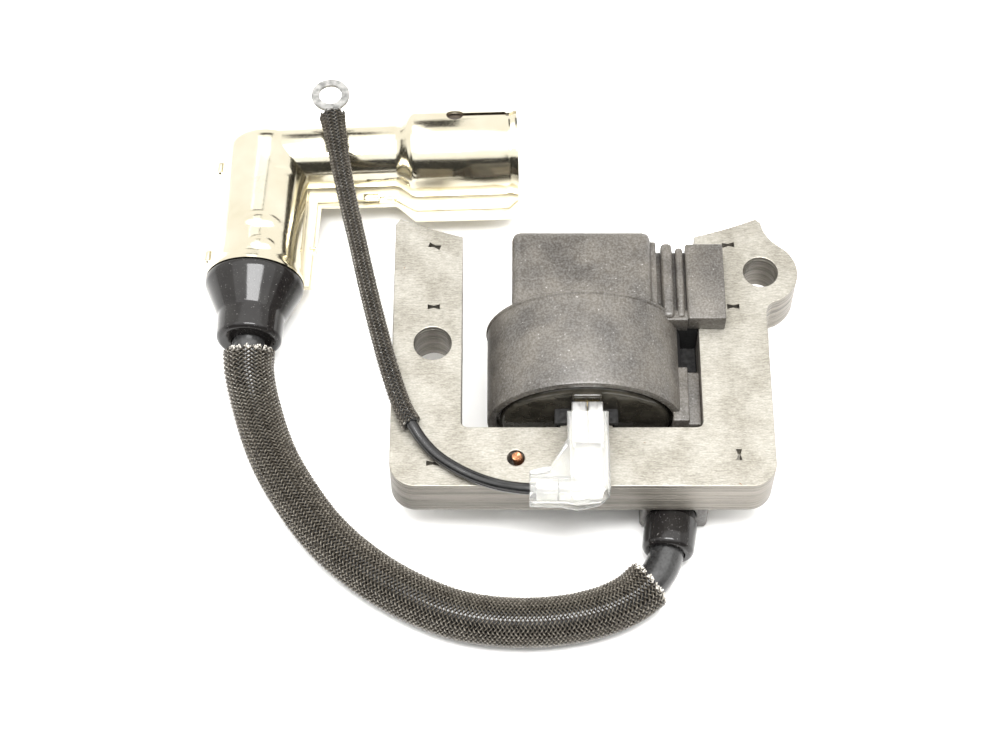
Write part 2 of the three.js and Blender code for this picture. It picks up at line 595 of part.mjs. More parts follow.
function buildKillLead() {
  buildFlagTerminal();
  buildTerminalCover();
  place('kill_wire', tube(WIRE_ROUTE, WIRE_R, 0, 8, 34), material('#1f1e1d', 0.45));
  place('kill_sleeve', tube(KILL_SLEEVE_ROUTE, KILL_SLEEVE_R, KILL_SLEEVE_BORE, 8, 22), braid());
  buildRingTerminal();
}

buildCore();
buildCase();
buildWindings();
buildResin();
buildElectrics();
buildSparkLead();
buildShield();
buildCapInside();
buildKillLead();

export default part;
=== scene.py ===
"""The looks of a small-engine ignition coil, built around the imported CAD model.

Lengths here are millimetres in the design frame: x = 0 on the middle of the core, y = 0 on its front
edge, z = 0 on the bench. row() turns them into the row frame's metres.
"""

import math
import random

import bmesh
import bpy
import numpy as np
from mathutils import Matrix, Vector


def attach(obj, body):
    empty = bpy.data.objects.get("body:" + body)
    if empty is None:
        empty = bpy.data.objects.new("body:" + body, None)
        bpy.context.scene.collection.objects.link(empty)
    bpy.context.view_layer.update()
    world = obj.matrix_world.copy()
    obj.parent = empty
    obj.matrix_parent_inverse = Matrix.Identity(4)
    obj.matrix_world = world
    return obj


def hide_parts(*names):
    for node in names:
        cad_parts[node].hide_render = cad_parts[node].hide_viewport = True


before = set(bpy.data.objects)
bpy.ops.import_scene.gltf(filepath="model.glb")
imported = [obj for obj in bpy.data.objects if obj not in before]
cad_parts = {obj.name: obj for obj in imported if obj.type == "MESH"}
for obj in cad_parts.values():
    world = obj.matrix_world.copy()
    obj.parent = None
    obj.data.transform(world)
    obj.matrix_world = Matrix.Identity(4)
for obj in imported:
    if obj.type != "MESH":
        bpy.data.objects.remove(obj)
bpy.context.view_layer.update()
random.seed(7)

MM = 0.001
FOOT_Y = 27.3                      # the origin is under the middle of the winding case

# Core
LIFT = 11.4
SHEETS = 10
SHEET = 1.04
CORE_TOP = LIFT + SHEETS * SHEET
MID_Z = (LIFT + CORE_TOP) / 2
CORE_HALF = 37.9
CORE_CORNER = 5.2
WINDOW_HALF = 23.9
WINDOW_FRONT = 13.1
WINDOW_CORNER = 1.5
FLYWHEEL_Y = 149.6
FLYWHEEL_R = 94.7
LEFT_HOLE = (-29.8, 32.3, 3.8)      # x, y, radius
RIGHT_HOLE = (37.2, 49.3, 3.55)
PIN_HOLE = (-13.1, 6.2, 1.7)
EAR_RADIUS = 7.6
COIL_X = 0.8                        # middle of the centre leg and of the windings
LEG_HALF = 5.2

# Winding case
ROLL_A = 19.6                       # half width and half height of the elliptical case
ROLL_B = 16.4
ROLL_FRONT = 16.6
ROLL_BACK = 38.0
CASE_WALL = 1.8
INNER = 15.5                        # inset that ends a profile of the case near the coil's axis
TAIL_BACK = 54.0
TAIL_TOP = 29.1
TAIL_BOTTOM = 8.4
TUNNEL_HALF = 5.55

# Spark plug lead and cap
CABLE_R = 3.5
SLEEVE_R = 5.0
BOOT_MOUTH = Vector((18.3, 1.5, 5.7))
BOOT_TURN = -0.15
CAP = Vector((-66.7, 85.7, 10.5))   # where the axes of the cap's two arms cross
ARM_TURN = math.radians(2)          # each arm leans this much from square
SHEET_METAL = 0.7
NECK_R = 9.4
NECK_END = -32.0
NECK_END_R = 10.3
NECK_BACK = 4.6
NECK_CORNER = 4.0
NECK_FLATTENING = 0.20
TUBE_R = 7.0
TUBE_BACK = -5.0
SOCKET_R = 9.8
SOCKET_START = 31.3
SOCKET_END = 54.2
SEAM_Z = -2.8                       # the shield's seam, below the arms' axes
SEAM_GAP = 0.1                      # from the seam to each half of the shield

# Stop-switch lead
BLADE_Z = 27.0
BLADE_W = 4.8
BLADE_T = 0.8
WIRE_R = 1.15
KILL_SLEEVE_R = 2.0
WIRE_Y = -2.9
WIRE_Z = 26.2
RING = Vector((-52.9, 96.0, 19.7))  # middle of the ring terminal's eye


def row(point):
    """A point of the design frame, in the row frame's metres."""
    return Vector((point[0] * MM, (point[1] - FOOT_Y) * MM, point[2] * MM))


# ---- Camera ----------------------------------------------------------------------------------

def make_camera():
    """A long lens, looking down at the part from 60 degrees above."""
    data = bpy.data.cameras.new("camera")
    data.sensor_width = 36
    data.lens = 80.75
    data.clip_start = 0.01
    data.clip_end = 20
    camera = bpy.data.objects.new("camera", data)
    camera.location = row((-16.23, -199.1, 409.76))
    camera.rotation_euler = (math.radians(30), 0, 0)
    bpy.context.scene.collection.objects.link(camera)
    bpy.context.scene.camera = camera


# ---- Mesh helpers ----------------------------------------------------------------------------

class Build:
    """Vertices and faces of one piece, in millimetres of the design frame."""

    def __init__(self):
        self.verts = []
        self.faces = []

    def add(self, verts, faces):
        start = len(self.verts)
        self.verts += [Vector(v) for v in verts]
        self.faces += [[start + i for i in face] for face in faces]
        return self

    def moved(self, matrix):
        self.verts = [matrix @ v for v in self.verts]
        return self

    def join(self, other):
        return self.add(other.verts, other.faces)

    def mesh(self, name):
        mesh = bpy.data.meshes.new(name)
        mesh.from_pydata([row(v) for v in self.verts], [], self.faces)
        mesh.validate()
        return mesh

    def piece(self, name, body, slot, look, sharp=32):
        return finish_piece(self.mesh(name), name, body, look, sharp)


def finish_piece(mesh, name, body, look, sharp=32):
    """An object of that mesh, shaded smooth up to an angle, that rides on a body."""
    mesh.polygons.foreach_set("use_smooth", [True] * len(mesh.polygons))
    mesh.set_sharp_from_angle(angle=math.radians(sharp))
    mesh.materials.clear()
    mesh.materials.append(look)
    piece = bpy.data.objects.new(name, mesh)
    bpy.context.scene.collection.objects.link(piece)
    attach(piece, body)
    return piece


def outward(build):
    """The same build with its faces pointing out."""
    bm = to_bmesh(build)
    bmesh.ops.recalc_face_normals(bm, faces=bm.faces)
    return from_bmesh(bm)


def to_bmesh(build):
    """The build as a bmesh, for the operators that need one."""
    bm = bmesh.new()
    verts = [bm.verts.new(v) for v in build.verts]
    for face in build.faces:
        bm.faces.new([verts[i] for i in face])
    return bm


def from_bmesh(bm):
    """The bmesh as a build. Frees the bmesh."""
    bm.verts.index_update()
    build = Build()
    build.add([v.co.copy() for v in bm.verts], [[v.index for v in f.verts] for f in bm.faces])
    bm.free()
    return build


def rounded_box(low, high, radius, segments=3):
    """A box with all its edges rounded."""
    low, high = Vector(low), Vector(high)
    bm = bmesh.new()
    bmesh.ops.create_cube(bm, size=1)
    for v in bm.verts:
        v.co = Vector((v.co[i] + 0.5) * (high[i] - low[i]) + low[i] for i in range(3))
    bmesh.ops.bevel(bm, geom=bm.edges[:], offset=radius, segments=segments, profile=0.5, affect="EDGES")
    return from_bmesh(bm)


def prism(outline, z0, z1, radius=0.0, segments=2):
    """A flat outline of x, y points between two heights, with its top and bottom edges rounded."""
    bm = bmesh.new()
    lower = bm.faces.new([bm.verts.new((x, y, z0)) for x, y in outline])
    made = bmesh.ops.extrude_face_region(bm, geom=[lower])
    for v in made["geom"]:
        if isinstance(v, bmesh.types.BMVert):
            v.co.z = z1
    bmesh.ops.recalc_face_normals(bm, faces=bm.faces)
    if radius:
        rims = [e for e in bm.edges if abs(e.verts[0].co.z - e.verts[1].co.z) < 1e-6]
        bmesh.ops.bevel(bm, geom=rims, offset=radius, segments=segments, profile=0.5, affect="EDGES")
    return from_bmesh(bm)


def loft(rings, around=True, closed=False, caps=True):
    """A surface through rings of points. closed joins the last ring to the first."""
    count = len(rings[0])
    build = Build()
    faces = []
    spans = len(rings) if closed else len(rings) - 1
    last = count if around else count - 1
    for i in range(spans):
        a, b = i * count, ((i + 1) % len(rings)) * count
        for j in range(last):
            k = (j + 1) % count
            faces.append([a + j, a + k, b + k, b + j])
    if caps and not closed:
        faces.append(list(range(count))[::-1])
        faces.append([(len(rings) - 1) * count + j for j in range(count)])
    build.add([p for ring in rings for p in ring], faces)
    return outward(build)


def angles(count):
    """The angles of count even steps round a circle."""
    return [2 * math.pi * i / count for i in range(count)]


def turned(profile, sides=64, closed=False):
    """A solid of revolution about Y from [radius, y] points."""
    rings = []
    for radius, y in profile:
        radius = max(radius, 1e-4)
        rings.append([Vector((radius * math.cos(t), y, radius * math.sin(t))) for t in angles(sides)])
    return loft(rings, closed=closed, caps=not closed)


ALONG_X = Matrix.Rotation(-math.pi / 2, 4, "Z")      # turns a solid of revolution about Y to X


def turned_x(profile, sides=64, closed=False):
    """A solid of revolution about X from [radius, x] points."""
    return turned(profile, sides, closed).moved(ALONG_X)


def rounded(profile, radius=0.3, steps=3):
    """The profile with each inner corner replaced by a small arc."""
    points = [Vector(p) for p in profile]
    out = [points[0]]
    for before, corner, after in zip(points, points[1:], points[2:]):
        into, away = (before - corner), (after - corner)
        cut = min(radius, into.length * 0.45, away.length * 0.45)
        start, end = corner + into.normalized() * cut, corner + away.normalized() * cut
        for i in range(steps + 1):
            t = i / steps
            out.append(start.lerp(corner, t).lerp(corner.lerp(end, t), t))
    out.append(points[-1])
    return [tuple(p) for p in out]


def bush(inner, outer, start, end, radius):
    """The profile of a plain tube, for turned(closed=True), with its edges rounded."""
    return rounded([(inner, start), (outer, start), (outer, end), (inner, end)], radius)


def combine(target, cutter, operation):
    """The mesh that a boolean of two builds makes, as a build."""
    objects = []
    for i, build in enumerate((target, cutter)):
        mesh = bpy.data.meshes.new("boolean")
        mesh.from_pydata([Vector(v) for v in build.verts], [], build.faces)
        item = bpy.data.objects.new("boolean", mesh)
        bpy.context.scene.collection.objects.link(item)
        objects.append(item)
    modifier = objects[0].modifiers.new("boolean", "BOOLEAN")
    modifier.object = objects[1]
    modifier.operation = operation
    modifier.solver = "EXACT"
    graph = bpy.context.evaluated_depsgraph_get()
    result = bpy.data.meshes.new_from_object(objects[0].evaluated_get(graph))
    build = Build().add([v.co.copy() for v in result.vertices], [list(p.vertices) for p in result.polygons])
    for item in objects:
        bpy.data.objects.remove(item)
    bpy.data.meshes.remove(result)
    return build


def fuse(builds):
    """The union of builds, with no faces left inside."""
    whole = builds[0]
    for build in builds[1:]:
        whole = combine(whole, build, "UNION")
    return whole


# ---- Routes ----------------------------------------------------------------------------------

def catmull(points, step):
    """Points about a step apart on the centripetal Catmull-Rom curve through the given ones."""
    points = [Vector(p) for p in points]
    points = [2 * points[0] - points[1]] + points + [2 * points[-1] - points[-2]]
    out = []
    for p0, p1, p2, p3 in zip(points, points[1:], points[2:], points[3:]):
        t0 = 0.0
        t1 = t0 + (p1 - p0).length ** 0.5
        t2 = t1 + (p2 - p1).length ** 0.5
        t3 = t2 + (p3 - p2).length ** 0.5
        count = max(2, round((p2 - p1).length / step))
        for i in range(count):
            t = t1 + (t2 - t1) * i / count
            a1 = (t1 - t) / (t1 - t0) * p0 + (t - t0) / (t1 - t0) * p1
            a2 = (t2 - t) / (t2 - t1) * p1 + (t - t1) / (t2 - t1) * p2
            a3 = (t3 - t) / (t3 - t2) * p2 + (t - t2) / (t3 - t2) * p3
            b1 = (t2 - t) / (t2 - t0) * a1 + (t - t0) / (t2 - t0) * a2
            b2 = (t3 - t) / (t3 - t1) * a2 + (t - t1) / (t3 - t1) * a3
            out.append((t2 - t) / (t2 - t1) * b1 + (t - t1) / (t2 - t1) * b2)
    out.append(points[-2])
    return out


def even(points, step):
    """The same route with its points evenly spaced."""
    lengths = [0.0]
    for a, b in zip(points, points[1:]):
        lengths.append(lengths[-1] + (b - a).length)
    total = lengths[-1]
    count = max(2, round(total / step))
    out, j = [], 0
    for i in range(count + 1):
        s = total * i / count
        while j < len(lengths) - 2 and lengths[j + 1] < s:
            j += 1
        span = lengths[j + 1] - lengths[j]
        out.append(points[j].lerp(points[j + 1], (s - lengths[j]) / span))
    return out, total


def carried_frames(points):
    """A side and an up vector at each point of a route, carried along it without twist."""
    tangents = [(points[min(i + 1, len(points) - 1)] - points[max(i - 1, 0)]).normalized()
                for i in range(len(points))]
    side = tangents[0].cross(Vector((0, 0, 1))).normalized()
    frames = []
    for tangent in tangents:
        side = (side - tangent * side.dot(tangent)).normalized()
        frames.append((side, tangent.cross(side)))
    return frames


LEAD_ROUTE = [
    (19.95, 12.6, 5.7), (19.2, 7.6, 5.7), (18.3, 1.5, 5.7), (17.2, -5.6, 5.6), (15.6, -10.2, 5.4),
    (13.1, -13.4, 5.3), (9.6, -16.3, 5.2), (4.6, -18.8, 5.1), (-3.2, -20.8, 5.1), (-13.6, -21.4, 5.1),
    (-24.2, -19.9, 5.1), (-34.0, -15.8, 5.1), (-43.0, -10.0, 5.1), (-51.0, -2.6, 5.1), (-57.6, 6.4, 5.2),
    (-62.6, 15.4, 5.6), (-66.2, 25.4, 6.9), (-68.0, 33.0, 8.9), (-68.3, 39.4, 10.3), (-68.0, 47.0, 10.5),
    (-67.75, 55.7, 10.5), (-67.2, 71.8, 10.5),
]
SLEEVE_ROUTE = LEAD_ROUTE[5:18] + [(-68.2, 37.2, 10.0)]
WIRE_ROUTE = [
    (-3.4, WIRE_Y, WIRE_Z), (-9.6, WIRE_Y, WIRE_Z), (-12.6, -2.4, 25.6), (-16.4, -1.0, 24.2),
    (-20.8, 1.0, 23.3), (-24.8, 3.2, 23.15), (-28.6, 6.0, 23.15), (-31.6, 9.4, 23.5), (-33.6, 12.6, 24.05),
    (-35.3, 16.0, 24.1), (-38.0, 24.2, 24.1), (-40.9, 35.4, 23.4), (-43.4, 46.2, 22.4), (-45.6, 56.6, 21.2),
    (-47.8, 66.6, 20.2), (-49.6, 75.4, 19.8), (-51.3, 85.0, 19.7), (-52.3, 90.6, 19.7),
]
KILL_SLEEVE_ROUTE = WIRE_ROUTE[8:]


# ---- Node materials --------------------------------------------------------------------------

class Look:
    """A procedural material under construction. Textures read object coordinates, in metres."""

    def __init__(self, name, colour, roughness, metallic=0.0, **sockets):
        self.material = bpy.data.materials.new(name)
        self.material.use_nodes = True
        self.tree = self.material.node_tree
        self.shader = self.tree.nodes["Principled BSDF"]
        self.shader.inputs["Base Color"].default_value = (*colour, 1)
        self.shader.inputs["Roughness"].default_value = roughness
        self.shader.inputs["Metallic"].default_value = metallic
        for socket, value in sockets.items():
            self.shader.inputs[socket.replace("_", " ")].default_value = value
        self.coordinates = self.node("ShaderNodeTexCoord").outputs["Object"]

    def node(self, kind, **values):
        node = self.tree.nodes.new(kind)
        for key, value in values.items():
            setattr(node, key, value)
        return node

    def link(self, out, socket):
        self.tree.links.new(out, socket)

    def noise(self, size, detail=4.0, stretch=(1, 1, 1), distortion=0.0):
        """Noise whose features are about size millimetres, stretched along the axes by factors."""
        mapping = self.node("ShaderNodeMapping")
        mapping.inputs["Scale"].default_value = [1 / (size * MM * s) for s in stretch]
        self.link(self.coordinates, mapping.inputs["Vector"])
        noise = self.node("ShaderNodeTexNoise")
        noise.inputs["Scale"].default_value = 1.0
        noise.inputs["Detail"].default_value = detail
        noise.inputs["Distortion"].default_value = distortion
        self.link(mapping.outputs["Vector"], noise.inputs["Vector"])
        return noise.outputs["Fac"]

    def ramp(self, value, stops):
        """Colours or greys at positions: [(position, grey or (r, g, b)), ...]."""
        ramp = self.node("ShaderNodeValToRGB")
        elements = ramp.color_ramp.elements
        while len(elements) < len(stops):
            elements.new(0.5)
        for element, (position, colour) in zip(elements, stops):
            element.position = position
            rgb = colour if isinstance(colour, tuple) else (colour,) * 3
            element.color = (*rgb, 1)
        self.link(value, ramp.inputs["Fac"])
        return ramp.outputs["Color"]

    def cloudy(self, size, detail, dark, light, low=0.3, high=0.7):
        """Noise of that size, between two colours or two greys."""
        return self.ramp(self.noise(size, detail), [(low, dark), (high, light)])

    def mix(self, factor, a, b, blend="MIX"):
        """Mixes two colours, each a socket or (r, g, b), by a factor, a socket or a number."""
        mix = self.node("ShaderNodeMix", data_type="RGBA", blend_type=blend)
        for socket, value in ((mix.inputs[0], factor), (mix.inputs[6], a), (mix.inputs[7], b)):
            if isinstance(value, bpy.types.NodeSocket):
                self.link(value, socket)
            elif isinstance(value, tuple):
                socket.default_value = (*value, 1)
            else:
                socket.default_value = value
        return mix.outputs[2]

    def colour(self, socket):
        self.link(socket, self.shader.inputs["Base Color"])

    def roughness(self, socket):
        self.link(socket, self.shader.inputs["Roughness"])

    def bump(self, heights, strength, depth=0.05):
        """Bumps of depth millimetres from one or more height sockets."""
        normal = None
        for height, share in heights:
            bump = self.node("ShaderNodeBump")
            bump.inputs["Strength"].default_value = strength * share
            bump.inputs["Distance"].default_value = depth * MM
            self.link(height, bump.inputs["Height"])
            if normal is not None:
                self.link(normal, bump.inputs["Normal"])
            normal = bump.outputs["Normal"]
        self.link(normal, self.shader.inputs["Normal"])


def core_steel():
    """Bare lamination steel, faintly rolled along the core's width, with a little rust."""
    look = Look("core_steel", (0.32, 0.295, 0.25), 0.45, 0.5)
    grain = look.noise(0.34, 4, (4.5, 1, 1))
    fine = look.noise(0.22, 3, (2.2, 1, 1))
    base = look.ramp(grain, [(0.34, (0.16, 0.145, 0.11)), (0.66, (0.34, 0.32, 0.265))])
    base = look.mix(0.3, base, look.ramp(fine, [(0.36, 0.10), (0.66, 0.42)]))
    stains = look.cloudy(7, 5, (0.165, 0.148, 0.11), (0.39, 0.372, 0.325), 0.38, 0.62)
    base = look.mix(0.3, base, stains)
    rust = look.cloudy(1.3, 6, 0.0, 1.0, 0.735, 0.79)
    look.colour(look.mix(rust, base, (0.17, 0.085, 0.035)))
    look.roughness(look.ramp(grain, [(0.3, 0.34), (0.7, 0.52)]))
    look.bump([(grain, 0.6), (fine, 0.4)], 0.5, 0.05)
    return look.material


def sheared_steel():
    """The cut edges of the sheets: darker, and streaked along each sheet. On the staking dimples' walls it
    serves as painted shade.
    """
    look = Look("sheared_steel", (0.22, 0.20, 0.175), 0.42, 0.6)
    streaks = look.noise(0.5, 4, (9, 9, 0.55))
    layers = look.noise(1.1, 2, (40, 40, 1))
    base = look.ramp(streaks, [(0.3, (0.11, 0.10, 0.085)), (0.7, (0.27, 0.25, 0.215))])
    bands = look.ramp(layers, [(0.35, (0.09, 0.082, 0.07)), (0.65, (0.33, 0.305, 0.265))])
    look.colour(look.mix(0.5, base, bands))
    look.roughness(look.ramp(streaks, [(0.3, 0.34), (0.7, 0.5)]))
    look.bump([(streaks, 1.0)], 0.5, 0.05)
    return look.material


def case_plastic():
    """Dark glass-filled plastic with a dull, slightly scuffed skin."""
    look = Look("case_plastic", (0.05, 0.045, 0.04), 0.45)
    grain = look.noise(0.42, 5)
    clouds = look.noise(7, 4)
    scuffs = look.noise(0.5, 3, (5, 1, 1), 0.4)
    specks = look.noise(0.42, 2)
    base = look.ramp(clouds, [(0.34, (0.046, 0.039, 0.031)), (0.66, (0.108, 0.094, 0.075))])
    base = look.mix(look.ramp(scuffs, [(0.62, 0.0), (0.72, 0.35)]), base, (0.20, 0.19, 0.175))
    base = look.mix(look.ramp(specks, [(0.73, 0.0), (0.76, 0.9)]), base, (0.55, 0.53, 0.50))
    look.colour(look.mix(0.34, base, look.ramp(grain, [(0.38, 0.012), (0.64, 0.16)])))
    look.roughness(look.ramp(clouds, [(0.3, 0.30), (0.7, 0.46)]))
    look.bump([(grain, 1.0)], 0.4, 0.05)
    return look.material


def resin():
    """Glossy cast epoxy with a few trapped bubbles."""
    look = Look("resin", (0.04, 0.037, 0.03), 0.08)
    look.colour(look.cloudy(3, 4, (0.020, 0.018, 0.014), (0.052, 0.047, 0.036)))
    look.roughness(look.cloudy(1.2, 5, 0.05, 0.15, 0.35))
    look.bump([(look.noise(2.6, 2), 1.0)], 0.25, 0.12)
    return look.material


def shield_metal():
    """Bright yellow-passivated plating over pressed steel, so the surface is a little wavy."""
    look = Look("shield_metal", (0.67, 0.62, 0.49), 0.14, 1.0)
    waves = look.noise(7, 1)
    pits = look.noise(0.35, 4)
    look.colour(look.cloudy(12, 3, (0.62, 0.57, 0.43), (0.71, 0.67, 0.55)))
    look.roughness(look.ramp(pits, [(0.35, 0.09), (0.75, 0.24)]))
    look.bump([(waves, 1.0), (pits, 0.06)], 0.22, 0.25)
    return look.material


def shield_brushed():
    """The shield's flat flanges, duller from being pressed together."""
    look = Look("shield_flange", (0.72, 0.67, 0.53), 0.34, 1.0)
    look.colour(look.cloudy(6, 3, (0.68, 0.62, 0.47), (0.76, 0.72, 0.60)))
    look.roughness(look.cloudy(0.8, 3, 0.28, 0.42))
    look.bump([(look.noise(5, 1), 1.0)], 0.10, 0.2)
    return look.material


def rubber():
    """Smooth black rubber with a little dust on it."""
    look = Look("rubber", (0.012, 0.011, 0.011), 0.16, Specular_IOR_Level=0.3)
    dust = look.noise(0.3, 5)
    base = look.cloudy(5, 3, (0.009, 0.008, 0.008), (0.016, 0.015, 0.014))
    look.colour(look.mix(look.ramp(dust, [(0.66, 0.0), (0.73, 0.6)]), base, (0.30, 0.29, 0.28)))
    look.roughness(look.ramp(dust, [(0.4, 0.09), (0.75, 0.2)]))
    look.bump([(look.noise(2.5, 2), 1.0)], 0.10, 0.05)
    return look.material


def jacket(name, tone):
    """Extruded cable insulation, faintly streaked."""
    look = Look(name, (tone, tone, tone), 0.2)
    streaks = look.noise(0.6, 3)
    look.colour(look.ramp(streaks, [(0.3, (tone * 0.7,) * 3), (0.7, (tone * 1.5,) * 3)]))
    look.roughness(look.ramp(streaks, [(0.3, 0.15), (0.7, 0.27)]))
    look.bump([(streaks, 1.0)], 0.15, 0.03)
    return look.material


def yarn_look(name):
    """Varnished yarn with a painted highlight on the crown of each float, brightest where the yarn faces up.

    The mesh's UV map runs across the yarn in u; in v it counts floats, with a crown at each half.
    """
    look = Look(name, (0.05, 0.045, 0.04), 0.34, Specular_IOR_Level=1.0)
    uv = look.node("ShaderNodeUVMap", uv_map="yarn").outputs["UV"]
    split = look.node("ShaderNodeSeparateXYZ")
    look.link(uv, split.inputs["Vector"])
    phase = look.node("ShaderNodeMath", operation="FRACT")
    look.link(split.outputs["Y"], phase.inputs[0])
    dirt = look.noise(2.2, 3)
    crown_highlight_patches = look.noise(1.1, 3)
    base = look.ramp(dirt, [(0.3, (0.030, 0.025, 0.019)), (0.7, (0.060, 0.052, 0.041))])
    across = look.ramp(split.outputs["X"], [(0.12, 0.0), (0.34, 1.0), (0.66, 1.0), (0.88, 0.0)])
    along = look.ramp(phase.outputs["Value"], [(0.26, 0.0), (0.42, 1.0), (0.58, 1.0), (0.74, 0.0)])
    # Painted highlight: the crown mask lightens the middle of each float, patchily.
    crown = look.mix(1.0, across, along, "MULTIPLY")
    crown = look.mix(1.0, crown, look.ramp(crown_highlight_patches, [(0.34, 0.25), (0.62, 1.0)]), "MULTIPLY")
    normal = look.node("ShaderNodeSeparateXYZ")
    look.link(look.node("ShaderNodeNewGeometry").outputs["Normal"], normal.inputs["Vector"])
    # Painted highlight: the crowns get lighter as the surface faces up, standing in for the overhead light's
    # glint.
    upper = look.ramp(normal.outputs["Z"], [(0.60, (0.25, 0.225, 0.185)), (0.90, (0.80, 0.77, 0.70))])
    look.colour(look.mix(crown, base, upper))
    look.roughness(look.ramp(dirt, [(0.3, 0.24), (0.7, 0.36)]))
    look.bump([(look.noise(0.12, 2), 1.0)], 0.15, 0.04)
    return look.material


def raw_yarn():
    """Cut yarn ends, pale where the varnish has gone."""
    look = Look("raw_yarn", (0.72, 0.69, 0.63), 0.8)
    look.colour(look.cloudy(0.6, 3, (0.48, 0.45, 0.40), (0.80, 0.77, 0.71)))
    look.bump([(look.noise(0.1, 2), 1.0)], 0.4, 0.05)
    return look.material


def plated(name, dark, light, roughness):
    """Plated or bare sheet metal with fine handling marks."""
    look = Look(name, light, roughness, 1.0)
    marks = look.noise(0.5, 4, (1, 5, 1))
    look.colour(look.cloudy(2.5, 4, dark, light))
    look.roughness(look.ramp(marks, [(0.3, roughness * 0.75), (0.7, roughness * 1.35)]))
    look.bump([(marks, 1.0)], 0.25, 0.03)
    return look.material


def dull_tin():
    """Hot-tinned steel that has gone grey."""
    look = Look("dull_tin", (0.40, 0.40, 0.39), 0.5, 0.7)
    look.colour(look.cloudy(1.2, 5, (0.17, 0.17, 0.165), (0.38, 0.375, 0.36), 0.35, 0.65))
    look.roughness(look.cloudy(0.7, 4, 0.34, 0.6))
    look.bump([(look.noise(0.5, 4), 1.0)], 0.4, 0.05)
    return look.material


def clear_plastic():
    """Soft vinyl, clear but a little milky."""
    look = Look("clear_plastic", (0.97, 0.97, 0.94), 0.06, Transmission_Weight=0.85, IOR=1.25)
    look.colour(look.cloudy(3, 3, (0.95, 0.95, 0.91), (0.99, 0.99, 0.98)))
    look.roughness(look.cloudy(1.6, 3, 0.03, 0.12))
    look.bump([(look.noise(3.0, 1), 1.0)], 0.12, 0.15)
    return look.material


def moulded(name, dark, light, roughness):
    """A moulded or glazed part with a finely pitted skin."""
    look = Look(name, light, roughness)
    look.colour(look.cloudy(2.5, 4, dark, light))
    look.roughness(look.cloudy(0.8, 3, roughness * 0.8, roughness * 1.2))
    look.bump([(look.noise(0.25, 4), 1.0)], 0.25, 0.04)
    return look.material


def wound(name, dark, light, pitch):
    """Enamelled wire laid turn beside turn round the coil's axis."""
    look = Look(name, light, 0.32, 0.85)
    wave = look.node("ShaderNodeTexWave", wave_type="BANDS", bands_direction="Y")
    wave.inputs["Scale"].default_value = 0.314 / (pitch * MM) / 2
    wave.inputs["Distortion"].default_value = 0.6
    look.link(look.coordinates, wave.inputs["Vector"])
    look.colour(look.ramp(wave.outputs["Fac"], [(0.1, dark), (0.7, light)]))
    look.roughness(look.cloudy(1.0, 3, 0.25, 0.42))
    look.bump([(wave.outputs["Fac"], 1.0)], 0.8, pitch * 0.4)
    return look.material


STEEL = core_steel()
CUT_STEEL = sheared_steel()
PLASTIC = case_plastic()
RESIN = resin()
SHIELD = shield_metal()
SHIELD_FLANGE = shield_brushed()
RUBBER = rubber()
CABLE_JACKET = jacket("cable_jacket", 0.02)
WIRE_JACKET = jacket("wire_jacket", 0.006)
LINING = jacket("sleeve_lining", 0.012)
YARN = yarn_look("braid")
RAW_YARN = raw_yarn()
BRASS = plated("brass", (0.50, 0.36, 0.13), (0.72, 0.56, 0.26), 0.28)
COPPER = plated("copper", (0.40, 0.17, 0.08), (0.72, 0.36, 0.20), 0.32)
TINNED = plated("tinned", (0.52, 0.52, 0.51), (0.78, 0.77, 0.75), 0.36)
DULL_TIN = dull_tin()
CLEAR = clear_plastic()
PHENOLIC = moulded("phenolic", (0.030, 0.022, 0.018), (0.055, 0.042, 0.034), 0.4)
BOBBIN = moulded("bobbin_nylon", (0.60, 0.53, 0.38), (0.76, 0.70, 0.55), 0.5)
# Painted shade: near black, for recesses that the light does not reach.
PAINTED_SHADE = moulded("painted_shade_black", (0.001, 0.001, 0.001), (0.003, 0.0025, 0.002), 0.8)
MODULE = moulded("module_board", (0.018, 0.07, 0.03), (0.03, 0.13, 0.05), 0.35)
RESISTOR = moulded("resistor_glaze", (0.30, 0.05, 0.03), (0.42, 0.09, 0.05), 0.3)
PRIMARY = wound("primary_wire", (0.22, 0.08, 0.03), (0.62, 0.27, 0.12), 0.6)
SECONDARY = wound("secondary_wire", (0.16, 0.05, 0.02), (0.42, 0.16, 0.07), 0.25)


# ---- Cords -----------------------------------------------------------------------------------

def cable_curve(name, route, radius, body, look, step):
    """A round cable as a bevelled curve. Returns it with its length in millimetres."""
    points, length = even(catmull(route, step), step)
    data = bpy.data.curves.new(name, "CURVE")
    data.dimensions = "3D"
    data.bevel_depth = radius * MM
    data.bevel_resolution = 8
    data.use_fill_caps = True
    spline = data.splines.new("POLY")
    spline.points.add(len(points) - 1)
    for target, p in zip(spline.points, points):
        target.co = (*row(p), 1)
    spline.use_smooth = True
    data.materials.append(look)
    piece = bpy.data.objects.new(name, data)
    bpy.context.scene.collection.objects.link(piece)
    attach(piece, body)
    return piece, length


def opening(along, length, flare):
    """How far a sleeve stands off its radius: (amount, reach) for its start and for its end."""
    (start, start_reach), (end, end_reach) = flare
    return start * np.exp(-along / start_reach) + end * np.exp(-(length - along) / end_reach)


def quad_mesh(name, verts, faces, uvs):
    """A mesh of quads from arrays in millimetres, with a UV map that the yarn material reads."""
    mesh = bpy.data.meshes.new(name)
    mesh.vertices.add(len(verts))
    placed = (verts - np.array([0, FOOT_Y, 0])) * MM
    mesh.vertices.foreach_set("co", placed.astype(np.float32).ravel())
    mesh.loops.add(faces.size)
    mesh.loops.foreach_set("vertex_index", faces.astype(np.int32).ravel())
    mesh.polygons.add(len(faces))
    mesh.polygons.foreach_set("loop_start", np.arange(0, faces.size, 4, dtype=np.int32))
    mesh.update(calc_edges=True)
    layer = mesh.uv_layers.new(name="yarn")
    layer.data.foreach_set("uv", uvs[faces.ravel()].astype(np.float32).ravel())
    mesh.validate()
    return mesh


